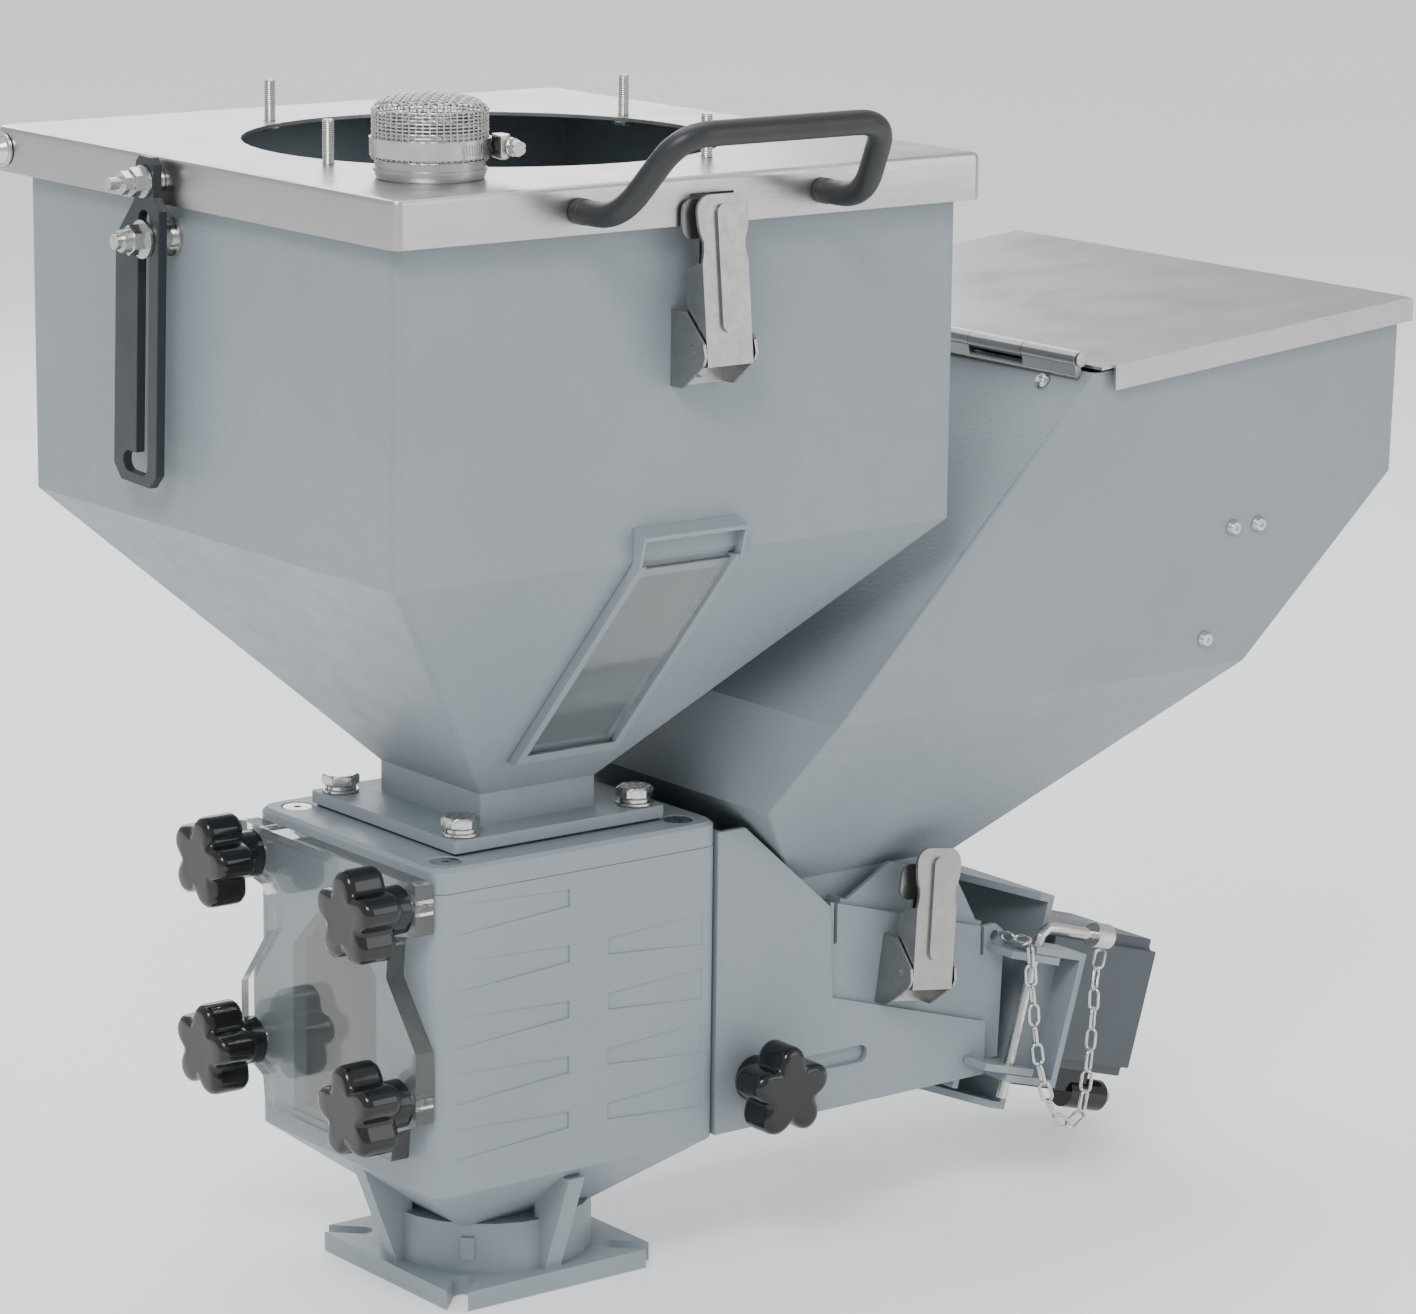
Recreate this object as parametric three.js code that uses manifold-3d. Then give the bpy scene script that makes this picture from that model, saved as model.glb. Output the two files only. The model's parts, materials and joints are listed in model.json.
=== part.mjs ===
// Volumetric dosing and mixing unit for a plastics processing machine.
// Millimetres, +Z up. The origin is the centre of the base flange's underside. +X points at the dosing
// module, -Y at the ribbed side of the mixing neck and -X at its clear inspection cover.
import * as THREE from 'three';
import { mergeVertices } from 'three/addons/utils/BufferGeometryUtils.js';
import Module from 'manifold-3d';

const wasm = await Module();
wasm.setup();

// ---------------------------------------------------------------- driving dimensions
const GAP = 0.3;

const BASE_HALF = 64;
const BASE_THICK = 10;
const COLLAR_R = 55;
const OUTLET_R = 40;
const NECK_HALF_X = 88;
const NECK_HALF_Y = 82;
const NECK_CORNER_R = 9;
const NECK_WALL = 8;
const TAPER_TOP_Z = 70;
const TAPER_FOOT_Z = 35;
const NECK_TOP_Z = 226;
const PLATE_TOP_Z = 239;

const GASKET_THICK = 1;
const FLANGE_HALF = 65;
const FLANGE_THICK = 6.4;
const BOLT_HALF_PITCH = 54;
const CHUTE_HALF_X = 36;
const CHUTE_HALF_Y = 45;
const CHUTE_TOP_Z = 263;
const HOPPER_HALF_X = 167;
const HOPPER_HALF_Y = 165;
const HOPPER_FOLD_Z = 401;
const HOPPER_RIM_Z = 579;
const SHEET = 2.5;

const LID_HALF_X = 174;
const LID_FRONT_Y = -175;
const LID_BACK_Y = 185;
const LID_BOTTOM_Z = 561.6;
const LID_TOP_Z = 584.7;
const LID_SHEET = 2;
const LID_HOLE_R = 120;
const LID_MID_Y = (LID_FRONT_Y + LID_BACK_Y) / 2;
const STUD_CIRCLE_R = 131;
const VENT = { x: -112.4, y: -113.2, r: 26 };
const PIVOT_Y = 176;
const PIVOT_Z = 573;

const STAY_X = -183;
const STAY_SHEET = 5;
const STAY_PIN_Y = 26.4;
const STAY_GUIDE_Y = 27;
const STAY_GUIDE_Z = 545;

const KNOB_Y = 66.5;
const KNOB_Z = [218.5, 119];
const COVER_THICK = 10.5;

const CHEEK_HALF_Y = 80;
const CHEEK_SHEET = 3;
const CONSOLE_END_X = 272;
const CONSOLE_FOOT_Z = 70;
const SLOT_Z = 97;
const SLOT_START_X = 113;
const SLOT_TRAVEL = 70;

const TILT = THREE.MathUtils.degToRad(16);
const AXIS_START = new THREE.Vector3(NECK_HALF_X, 0, 166);
const TUBE_R = 25;
const TUBE_BORE_R = 23;

const DOSE_HALF_Y = 155;
const DOSE_FOOT_HALF_Y = 62;
const DOSE_LID_HALF_Y = 160;
const DOSE_HINGE_X = 267;
const DOSE_HINGE_Z = 469.5;

const LATCH_X = 6;
const LATCH_Z = 503;
const LATCH_REACH = 73;
const LATCH_HOOK_REACH = 71.5;
const DOSE_LATCH_X = 215.5;
const DOSE_LATCH_Z = 139.5;
const DOSE_LATCH_REACH = 67;
const DOSE_LATCH_HOOK_REACH = 58;
const DOSE_LATCH_TILT = THREE.MathUtils.degToRad(8);

// ---------------------------------------------------------------- colours
const finish = {
  hopperPaint: { color: 0x98a3ab, roughness: 0.55, metalness: 0.1 },
  castPaint: { color: 0x9aa4ab, roughness: 0.55, metalness: 0.1 },
  stainless: { color: 0xb7b8b6, roughness: 0.35, metalness: 0.9 },
  zinc: { color: 0xc2c4c2, roughness: 0.3, metalness: 0.9 },
  blackSteel: { color: 0x2a2d2f, roughness: 0.5, metalness: 0.2 },
  blackPlastic: { color: 0x15171a, roughness: 0.15, metalness: 0 },
  motorGrey: { color: 0x4d565c, roughness: 0.5, metalness: 0.3 },
  clear: { color: 0xdfe8ea, roughness: 0.05, metalness: 0 },
  rubber: { color: 0x202225, roughness: 0.8, metalness: 0 },
};

// ---------------------------------------------------------------- solid helpers
function solid(geometry) {
  const bare = geometry.index ? geometry.toNonIndexed() : geometry.clone();
  bare.deleteAttribute('normal');
  bare.deleteAttribute('uv');
  const merged = mergeVertices(bare, 1e-3);
  const mesh = new wasm.Mesh({
    numProp: 3,
    vertProperties: new Float32Array(merged.attributes.position.array),
    triVerts: new Uint32Array(merged.index.array),
  });
  return new wasm.Manifold(mesh);
}

function geometryOf(manifold) {
  const mesh = manifold.getMesh();
  const geometry = new THREE.BufferGeometry();
  geometry.setAttribute('position', new THREE.BufferAttribute(new Float32Array(mesh.vertProperties), 3));
  geometry.setIndex(new THREE.BufferAttribute(new Uint32Array(mesh.triVerts), 1));
  return geometry;
}

function joined(first, ...others) {
  return others.reduce((sum, piece) => sum.add(piece), first);
}

function cut(first, ...others) {
  return others.reduce((rest, piece) => rest.subtract(piece), first);
}

// A box given by its lowest and highest corners.
function block(x0, y0, z0, x1, y1, z1) {
  const geometry = new THREE.BoxGeometry(x1 - x0, y1 - y0, z1 - z0);
  geometry.translate((x0 + x1) / 2, (y0 + y1) / 2, (z0 + z1) / 2);
  return solid(geometry);
}

// A round bar from one point to another.
function rod(from, to, radius, segments = 20, endRadius = radius) {
  const a = new THREE.Vector3(...from);
  const b = new THREE.Vector3(...to);
  const geometry = new THREE.CylinderGeometry(endRadius, radius, a.distanceTo(b), segments);
  const along = b.clone().sub(a).normalize();
  const turn = new THREE.Quaternion().setFromUnitVectors(new THREE.Vector3(0, 1, 0), along);
  geometry.applyQuaternion(turn);
  geometry.translate((a.x + b.x) / 2, (a.y + b.y) / 2, (a.z + b.z) / 2);
  return solid(geometry);
}

function polygon(points) {
  return new THREE.Shape(points.map(([x, y]) => new THREE.Vector2(x, y)));
}

// Plates: an outline in two axes, thick along the third.
function plateXY(shape, z0, z1, curveSegments = 6) {
  const geometry = new THREE.ExtrudeGeometry(shape, { depth: z1 - z0, bevelEnabled: false, curveSegments });
  geometry.translate(0, 0, z0);
  return solid(geometry);
}

function plateXZ(shape, y0, y1, curveSegments = 6) {
  const geometry = new THREE.ExtrudeGeometry(shape, { depth: y1 - y0, bevelEnabled: false, curveSegments });
  geometry.rotateX(Math.PI / 2);
  geometry.translate(0, y1, 0);
  return solid(geometry);
}

function plateYZ(shape, x0, x1, curveSegments = 6) {
  const geometry = new THREE.ExtrudeGeometry(shape, { depth: x1 - x0, bevelEnabled: false, curveSegments });
  geometry.rotateX(Math.PI / 2);
  geometry.rotateZ(Math.PI / 2);
  geometry.translate(x0, 0, 0);
  return solid(geometry);
}

function roundedRect(x0, y0, x1, y1, r) {
  const shape = new THREE.Shape();
  shape.moveTo(x0 + r, y0);
  shape.lineTo(x1 - r, y0);
  shape.absarc(x1 - r, y0 + r, r, -Math.PI / 2, 0, false);
  shape.lineTo(x1, y1 - r);
  shape.absarc(x1 - r, y1 - r, r, 0, Math.PI / 2, false);
  shape.lineTo(x0 + r, y1);
  shape.absarc(x0 + r, y1 - r, r, Math.PI / 2, Math.PI, false);
  shape.lineTo(x0, y0 + r);
  shape.absarc(x0 + r, y0 + r, r, Math.PI, 1.5 * Math.PI, false);
  return shape;
}

// A stadium outline between two points.
function stadium(x0, y0, x1, y1, r) {
  const turn = Math.atan2(y1 - y0, x1 - x0);
  const shape = new THREE.Shape();
  shape.absarc(x1, y1, r, turn - Math.PI / 2, turn + Math.PI / 2, false);
  shape.absarc(x0, y0, r, turn + Math.PI / 2, turn + 1.5 * Math.PI, false);
  return shape;
}

// A closed skin through rings of equal point count, listed anticlockwise as seen from the far end.
function loft(rings) {
  const count = rings[0].length;
  const points = rings.flat();
  const faces = [];
  for (let level = 0; level < rings.length - 1; level += 1) {
    for (let i = 0; i < count; i += 1) {
      const a = level * count + i;
      const b = level * count + ((i + 1) % count);
      faces.push(a, b, b + count, a, b + count, a + count);
    }
  }
  const flat = rings[0].map((p) => new THREE.Vector2(p.x, p.y));
  const top = (rings.length - 1) * count;
  for (const [i, j, k] of THREE.ShapeUtils.triangulateShape(flat, [])) {
    faces.push(k, j, i);
    faces.push(top + i, top + j, top + k);
  }
  const geometry = new THREE.BufferGeometry().setFromPoints(points);
  geometry.setIndex(faces);
  return solid(geometry);
}

// One ring of a loft: a rectangle with rounded corners, its height a number or a function of x.
function rectRing(x0, x1, halfY, r, height, steps = 2) {
  const level = typeof height === 'function' ? height : () => height;
  const centres = [[x1 - r, -halfY + r, -90], [x1 - r, halfY - r, 0], [x0 + r, halfY - r, 90], [x0 + r, -halfY + r, 180]];
  const ring = [];
  for (const [cx, cy, start] of centres) {
    for (let i = 0; i <= steps; i += 1) {
      const angle = THREE.MathUtils.degToRad(start + (90 * i) / steps);
      const x = cx + r * Math.cos(angle);
      ring.push(new THREE.Vector3(x, cy + r * Math.sin(angle), level(x)));
    }
  }
  return ring;
}

// A round tube of constant radius along a path of straight runs with filleted corners.
function filletedPath(points, radius) {
  const path = new THREE.CurvePath();
  let from = points[0];
  for (let i = 1; i < points.length - 1; i += 1) {
    const corner = points[i];
    const before = corner.clone().sub(from).setLength(radius);
    const after = points[i + 1].clone().sub(corner).setLength(radius);
    const start = corner.clone().sub(before);
    const end = corner.clone().add(after);
    path.add(new THREE.LineCurve3(from, start));
    path.add(new THREE.QuadraticBezierCurve3(start, corner, end));
    from = end;
  }
  path.add(new THREE.LineCurve3(from, points[points.length - 1]));
  return path;
}

function tubeAlong(path, radius, steps, sides) {
  const section = new THREE.Shape();
  section.absarc(0, 0, radius, 0, 2 * Math.PI, false);
  const options = { steps, bevelEnabled: false, extrudePath: path, curveSegments: sides };
  return solid(new THREE.ExtrudeGeometry(section, options));
}

function hexHead(x, y, z0, z1, acrossFlats) {
  const geometry = new THREE.CylinderGeometry(acrossFlats / Math.sqrt(3), acrossFlats / Math.sqrt(3), z1 - z0, 6);
  geometry.rotateX(Math.PI / 2);
  geometry.translate(x, y, (z0 + z1) / 2);
  return solid(geometry);
}

// Turns a solid built along +Z so that +Z points along the given direction, then moves it.
function aimed(manifold, direction, at) {
  const geometry = geometryOf(manifold);
  const along = new THREE.Vector3(...direction).normalize();
  geometry.applyQuaternion(new THREE.Quaternion().setFromUnitVectors(new THREE.Vector3(0, 0, 1), along));
  geometry.translate(...at);
  return solid(geometry);
}

const unit = new THREE.Group();
const module = new THREE.Group();
module.position.copy(AXIS_START);
module.rotation.y = TILT;
unit.add(module);

function add(name, manifold, look, parent = unit) {
  const mesh = new THREE.Mesh(geometryOf(manifold), new THREE.MeshStandardMaterial(finish[look]));
  mesh.name = name;
  parent.add(mesh);
}

// A point of the tilted module frame, in the unit's frame.
function fromModule(s, y, n) {
  const x = AXIS_START.x + s * Math.cos(TILT) + n * Math.sin(TILT);
  const z = AXIS_START.z - s * Math.sin(TILT) + n * Math.cos(TILT);
  return new THREE.Vector3(x, y, z);
}

// Height of the module plane n above the screw axis, at a place x of the unit's frame.
function modulePlane(n) {
  return (x) => AXIS_START.z + n / Math.cos(TILT) - (x - AXIS_START.x) * Math.tan(TILT);
}

// ---------------------------------------------------------------- mixing neck
function neckHousing() {
  const flange = cut(
    plateXY(roundedRect(-BASE_HALF, -BASE_HALF, BASE_HALF, BASE_HALF, 3), 0, BASE_THICK, 2),
    ...[45, 135, 225, 315].map((angle) => {
      const turn = THREE.MathUtils.degToRad(angle);
      const inner = 66;
      const outer = 100;
      const slot = stadium(inner * Math.cos(turn), inner * Math.sin(turn), outer * Math.cos(turn),
        outer * Math.sin(turn), 5.5);
      return plateXY(slot, -1, BASE_THICK + 1, 4);
    }),
  );
  const steps = 4;
  const bodyRing = rectRing(-NECK_HALF_X, NECK_HALF_X, NECK_HALF_Y, NECK_CORNER_R, TAPER_TOP_Z, steps);
  const collarRing = bodyRing.map((p) => {
    const r = Math.hypot(p.x, p.y);
    return new THREE.Vector3((p.x / r) * COLLAR_R, (p.y / r) * COLLAR_R, TAPER_FOOT_Z);
  });
  const topRing = bodyRing.map((p) => new THREE.Vector3(p.x, p.y, NECK_TOP_Z));
  const body = loft([collarRing, bodyRing, topRing]);
  const collar = rod([0, 0, BASE_THICK - 1], [0, 0, TAPER_FOOT_Z + 1], COLLAR_R, 24);
  const gussets = [0, 90, 180, 270].map((angle) => {
    const shape = polygon([[50, 8], [60, 8], [60, 12], [80, 64], [50, 64]]);
    const geometry = geometryOf(plateXZ(shape, -5, 5));
    geometry.rotateZ(THREE.MathUtils.degToRad(angle));
    return solid(geometry);
  });
  const padShape = geometryOf(block(45, -3.5, 17, 56.5, 3.5, 29));
  padShape.rotateZ(THREE.MathUtils.degToRad(-135));
  const pad = solid(padShape);
  const innerX = NECK_HALF_X - NECK_WALL;
  const innerY = NECK_HALF_Y - NECK_WALL;
  const chamberTop = rectRing(-innerX, innerX, innerY, 6, NECK_TOP_Z + 1, steps);
  const chamberLow = rectRing(-innerX, innerX, innerY, 6, TAPER_TOP_Z + 6, steps);
  const throat = chamberLow.map((p) => {
    const r = Math.hypot(p.x, p.y);
    return new THREE.Vector3((p.x / r) * OUTLET_R, (p.y / r) * OUTLET_R, TAPER_FOOT_Z + 6);
  });
  const outlet = throat.map((p) => new THREE.Vector3(p.x, p.y, -1));
  const chamber = loft([outlet, throat, chamberLow, chamberTop]);
  const tubeWindow = block(innerX - 2, -29, 136, NECK_HALF_X + 2, 29, 217);
  const viewShape = polygon([[-38, 88], [38, 88], [38, 176], [4, 208], [-4, 208], [-38, 176]]);
  const viewWindow = plateYZ(viewShape, -NECK_HALF_X - 2, -innerX + 2);
  const studHoles = KNOB_Z.flatMap((z) => [-KNOB_Y, KNOB_Y].map(
    (y) => rod([-NECK_HALF_X - 1, y, z], [-innerX - 1.5, y, z], 4.6, 10)));
  const bosses = [-1, 1].flatMap((sx) => [-1, 1].map(
    (sy) => rod([sx * 71, sy * 66, 150], [sx * 71, sy * 66, NECK_TOP_Z], 11, 10)));
  const screwHoles = [-1, 1].flatMap((sx) => [-1, 1].map(
    (sy) => rod([sx * 72, sy * 67, 205], [sx * 72, sy * 67, NECK_TOP_Z + 1], 3.4, 8)));
  const shell = cut(joined(body, collar, flange, pad, ...gussets), chamber);
  return cut(joined(shell, ...bosses), tubeWindow, viewWindow, ...studHoles, ...screwHoles, ribPanels());
}

// Shallow bars let into the side that faces -Y, in two columns. Each bar widens and runs out towards the
// nearer corner.
const RIB_PITCH = 29;
const RIB_LOW_Z = 97;

function ribPanels() {
  const bars = [];
  const wall = -NECK_HALF_Y;
  for (const [inner, outer, rows] of [[-6.7, -77, 5], [17.3, 77, 4]]) {
    const depth = polygon([[inner, wall - 1], [inner, wall + 0.9], [outer, wall + 0.25], [outer, wall - 1]]);
    const wedge = plateXY(depth, 60, NECK_TOP_Z);
    for (let row = 0; row < rows; row += 1) {
      const z = RIB_LOW_Z + row * RIB_PITCH;
      const outline = polygon([[inner, z - 4.4], [inner, z + 4.4], [outer, z + 7.6], [outer, z - 8.8]]);
      bars.push(plateXZ(outline, wall - 2, wall + 2).intersect(wedge));
    }
  }
  return joined(...bars);
}

function neckTopPlate() {
  const low = rectRing(-NECK_HALF_X, NECK_HALF_X, NECK_HALF_Y, NECK_CORNER_R, NECK_TOP_Z + GAP, 3);
  const high = low.map((p) => new THREE.Vector3(p.x, p.y, PLATE_TOP_Z - 2));
  const top = low.map((p) => new THREE.Vector3(p.x * 0.98, p.y * 0.98, PLATE_TOP_Z));
  const hole = block(-CHUTE_HALF_X, -CHUTE_HALF_Y, 200, CHUTE_HALF_X, CHUTE_HALF_Y, 260);
  const sinks = [-1, 1].flatMap((sx) => [-1, 1].map((sy) => joined(
    rod([sx * 72, sy * 67, PLATE_TOP_Z - 5.4], [sx * 72, sy * 67, PLATE_TOP_Z + 1], 3.4, 14, 9.8),
    rod([sx * 72, sy * 67, 200], [sx * 72, sy * 67, PLATE_TOP_Z], 3.5, 10))));
  const boltHoles = [-1, 1].flatMap((sx) => [-1, 1].map((sy) => rod(
    [sx * BOLT_HALF_PITCH, sy * BOLT_HALF_PITCH, NECK_TOP_Z + 2],
    [sx * BOLT_HALF_PITCH, sy * BOLT_HALF_PITCH, PLATE_TOP_Z + 1], 5.4, 10)));
  return cut(loft([low, high, top]), hole, ...sinks, ...boltHoles);
}

function countersunkScrew(x, y) {
  const top = PLATE_TOP_Z - 0.3;
  const head = rod([x, y, top - 4], [x, y, top], 3.1, 14, 7.6);
  const shank = rod([x, y, top - 26], [x, y, top - 3.5], 3, 8);
  return cut(joined(head, shank), rod([x, y, top - 2.4], [x, y, top + 1], 2.2, 6));
}

// ---------------------------------------------------------------- main hopper
const FLANGE_Z = PLATE_TOP_Z + GAP + GASKET_THICK + GAP;

function hopperGasket() {
  const z = PLATE_TOP_Z + GAP;
  const outline = roundedRect(-FLANGE_HALF + 1.5, -FLANGE_HALF + 1.5, FLANGE_HALF - 1.5, FLANGE_HALF - 1.5, 3);
  const holes = [-1, 1].flatMap((sx) => [-1, 1].map((sy) => rod(
    [sx * BOLT_HALF_PITCH, sy * BOLT_HALF_PITCH, z - 1], [sx * BOLT_HALF_PITCH, sy * BOLT_HALF_PITCH, z + 3],
    5.6, 10)));
  const middle = block(-CHUTE_HALF_X, -CHUTE_HALF_Y, z - 1, CHUTE_HALF_X, CHUTE_HALF_Y, z + 3);
  return cut(plateXY(outline, z, z + GASKET_THICK, 2), middle, ...holes);
}

const WINDOW = { halfX: 27, lowZ: 287, highZ: 398, frame: 4.4 };

// The -Y wall of the funnel: its place in Y at height z, shifted outwards by some distance.
function funnelY(z, out = 0) {
  const rise = HOPPER_FOLD_Z - CHUTE_TOP_Z;
  const run = HOPPER_HALF_Y - CHUTE_HALF_Y;
  const slope = run / rise;
  const shift = out * Math.hypot(1, slope);
  return -(CHUTE_HALF_Y + (z - CHUTE_TOP_Z) * slope) - shift;
}

// A bar lying on the funnel's -Y wall between two heights and two distances from the wall.
function onFunnel(x0, x1, z0, z1, near, far) {
  const shape = polygon([
    [funnelY(z0, near), z0], [funnelY(z1, near), z1], [funnelY(z1, far), z1], [funnelY(z0, far), z0]]);
  return plateYZ(shape, x0, x1);
}

function mainHopper() {
  const r = 5;
  const flangeTop = FLANGE_Z + FLANGE_THICK;
  const outer = loft([
    rectRing(-CHUTE_HALF_X, CHUTE_HALF_X, CHUTE_HALF_Y, 2, FLANGE_Z),
    rectRing(-CHUTE_HALF_X, CHUTE_HALF_X, CHUTE_HALF_Y, 2, CHUTE_TOP_Z),
    rectRing(-HOPPER_HALF_X, HOPPER_HALF_X, HOPPER_HALF_Y, r, HOPPER_FOLD_Z),
    rectRing(-HOPPER_HALF_X, HOPPER_HALF_X, HOPPER_HALF_Y, r, HOPPER_RIM_Z),
  ]);
  const flange = plateXY(roundedRect(-FLANGE_HALF, -FLANGE_HALF, FLANGE_HALF, FLANGE_HALF, 1.5),
    FLANGE_Z, flangeTop, 2);
  const inner = loft([
    rectRing(-CHUTE_HALF_X + SHEET, CHUTE_HALF_X - SHEET, CHUTE_HALF_Y - SHEET, 1, FLANGE_Z - 1),
    rectRing(-CHUTE_HALF_X + SHEET, CHUTE_HALF_X - SHEET, CHUTE_HALF_Y - SHEET, 1, CHUTE_TOP_Z + 1),
    rectRing(-HOPPER_HALF_X + SHEET, HOPPER_HALF_X - SHEET, HOPPER_HALF_Y - SHEET, r - 2, HOPPER_FOLD_Z + 1),
    rectRing(-HOPPER_HALF_X + SHEET, HOPPER_HALF_X - SHEET, HOPPER_HALF_Y - SHEET, r - 2, HOPPER_RIM_Z + 1),
  ]);
  const boltHoles = [-1, 1].flatMap((sx) => [-1, 1].map((sy) => rod(
    [sx * BOLT_HALF_PITCH, sy * BOLT_HALF_PITCH, FLANGE_Z - 1],
    [sx * BOLT_HALF_PITCH, sy * BOLT_HALF_PITCH, flangeTop + 1], 5.5, 10)));
  const sight = onFunnel(-WINDOW.halfX + 4, WINDOW.halfX - 4, WINDOW.lowZ + 5, WINDOW.highZ - 5, -8, 8);
  const ears = [-1, 1].map((side) => {
    const shape = polygon([[155, 562.4], [168, 562.4], [PIVOT_Y - 2, 566.4], [PIVOT_Y + 4, 568], [PIVOT_Y + 6.3, 572],
      [PIVOT_Y + 4.6, 577.6], [PIVOT_Y, 579], [155, 579]]);
    const x = side * (HOPPER_HALF_X - SHEET / 2);
    return cut(plateYZ(shape, x - SHEET / 2, x + SHEET / 2),
      rod([x - 9, PIVOT_Y, PIVOT_Z], [x + 9, PIVOT_Y, PIVOT_Z], 4.4, 16));
  });
  const guideHole = rod([-HOPPER_HALF_X - 2, STAY_GUIDE_Y, STAY_GUIDE_Z],
    [-HOPPER_HALF_X + 6, STAY_GUIDE_Y, STAY_GUIDE_Z], 4.3, 14);
  const shell = joined(cut(joined(outer, flange), inner), ...ears);
  return cut(shell, ...boltHoles, sight, guideHole);
}

function sightWindow() {
  return onFunnel(-WINDOW.halfX + 0.5, WINDOW.halfX - 0.5, WINDOW.lowZ + 0.5, WINDOW.highZ - 0.5, GAP, 3.3);
}

function windowFrame() {
  const h = WINDOW.halfX;
  const f = WINDOW.frame;
  const lip = 5.5;
  const left = onFunnel(-h - f, -h, WINDOW.lowZ - 5, WINDOW.highZ + 1, GAP, lip);
  const right = onFunnel(h, h + f, WINDOW.lowZ - 5, WINDOW.highZ + 1, GAP, lip);
  const foot = onFunnel(-h - f, h + f, WINDOW.lowZ - 5, WINDOW.lowZ, GAP, lip);
  const wall = -HOPPER_HALF_Y - GAP;
  const roof = plateYZ(polygon([[wall, 415.5], [wall, 417.5], [wall - 9, 414], [wall - 9, 412]]), -h - f, h + f);
  const back = plateYZ(polygon([[wall, 402.5], [wall, 416], [wall - 1.2, 416], [wall - 1.2, 402.5]]), -h - f, h + f);
  const side = polygon([[wall, 402], [wall, 416.5], [wall - 8.7, 413], [wall - 4.6, 397], [funnelY(397, 0.6), 397],
    [wall, HOPPER_FOLD_Z]]);
  const sides = [-h - f, h + f - 1.6].map((x) => plateYZ(side, x, x + 1.6));
  return joined(left, right, foot, roof, back, ...sides);
}

function hopperBolt(x, y) {
  const top = FLANGE_Z + FLANGE_THICK + GAP;
  const washer = rod([x, y, top], [x, y, top + 1.6], 9.6, 14);
  const spring = rod([x, y, top + 1.5], [x, y, top + 3.6], 8.2, 12);
  const head = hexHead(x, y, top + 3.5, top + 9.3, 17);
  const shank = rod([x, y, NECK_TOP_Z + 3], [x, y, top + 1], 5, 10);
  return joined(washer, spring, head, shank);
}

// ---------------------------------------------------------------- main lid
function mainLid() {
  const h = LID_HALF_X;
  const mid = (LID_FRONT_Y + LID_BACK_Y) / 2;
  const halfY = (LID_BACK_Y - LID_FRONT_Y) / 2;
  const shift = (ring, dz) => ring.map((p) => new THREE.Vector3(p.x, p.y + mid, dz));
  const r = 5;
  const outer = loft([
    shift(rectRing(-h, h, halfY, r, 0, 3), LID_BOTTOM_Z),
    shift(rectRing(-h, h, halfY, r, 0, 3), LID_TOP_Z - 3),
    shift(rectRing(-h + 0.9, h - 0.9, halfY - 0.9, r - 0.9, 0, 3), LID_TOP_Z - 0.9),
    shift(rectRing(-h + 3, h - 3, halfY - 3, r - 3, 0, 3), LID_TOP_Z),
  ]);
  const t = LID_SHEET;
  const inner = loft([
    shift(rectRing(-h + t, h - t, halfY - t, r - t, 0, 3), LID_BOTTOM_Z - 1),
    shift(rectRing(-h + t, h - t, halfY - t, r - t, 0, 3), LID_TOP_Z - t),
  ]);
  const hole = rod([0, LID_MID_Y, LID_TOP_Z - 9], [0, LID_MID_Y, LID_TOP_Z + 9], LID_HOLE_R, 48);
  const vent = rod([VENT.x, VENT.y, LID_TOP_Z - 9], [VENT.x, VENT.y, LID_TOP_Z + 9], VENT.r - 2, 20);
  const pivots = [-1, 1].map((side) => rod([side * (h - 9), PIVOT_Y, PIVOT_Z], [side * (h + 9), PIVOT_Y, PIVOT_Z],
    4.4, 16));
  const stayHole = rod([-h - 4, STAY_PIN_Y, PIVOT_Z], [-h + 6, STAY_PIN_Y, PIVOT_Z], 3.4, 14);
  const slit = block(LATCH_X - 13, LID_FRONT_Y - 3, 572, LATCH_X + 13, LID_FRONT_Y + 5, 576.5);
  const studs = studPlaces().map(([x, y]) => rod([x, y, LID_TOP_Z - 6], [x, y, LID_TOP_Z + 6], 3.4, 12));
  const feet = [-1, 1].map((side) => rod([side * 72, LID_FRONT_Y - 4, 573], [side * 72, LID_FRONT_Y + 6, 573], 3.4, 12));
  return cut(outer, inner, hole, vent, ...pivots, stayHole, slit, ...studs, ...feet);
}

function studPlaces() {
  return [21, 111, 201, 291].map((degrees) => {
    const angle = THREE.MathUtils.degToRad(degrees);
    return [STUD_CIRCLE_R * Math.cos(angle), LID_MID_Y + STUD_CIRCLE_R * Math.sin(angle)];
  });
}

function loaderStud(x, y) {
  const bar = rod([x, y, LID_TOP_Z - 4], [x, y, LID_TOP_Z + 20], 3, 12);
  const tip = rod([x, y, LID_TOP_Z + 19.9], [x, y, LID_TOP_Z + 21], 3, 12, 2.2);
  const foot = rod([x, y, LID_TOP_Z - 5], [x, y, LID_TOP_Z - 2.3], 6, 12);
  return joined(bar, tip, foot);
}

function ventPipe() {
  const z = LID_TOP_Z + GAP;
  const wall = rod([VENT.x, VENT.y, z], [VENT.x, VENT.y, z + 22], VENT.r, 24);
  const collar = rod([VENT.x, VENT.y, z + 3.2], [VENT.x, VENT.y, z + 5], VENT.r + 0.9, 24);
  const bore = rod([VENT.x, VENT.y, z - 1], [VENT.x, VENT.y, z + 30], VENT.r - 1.6, 24);
  return cut(joined(wall, collar), bore);
}

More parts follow.
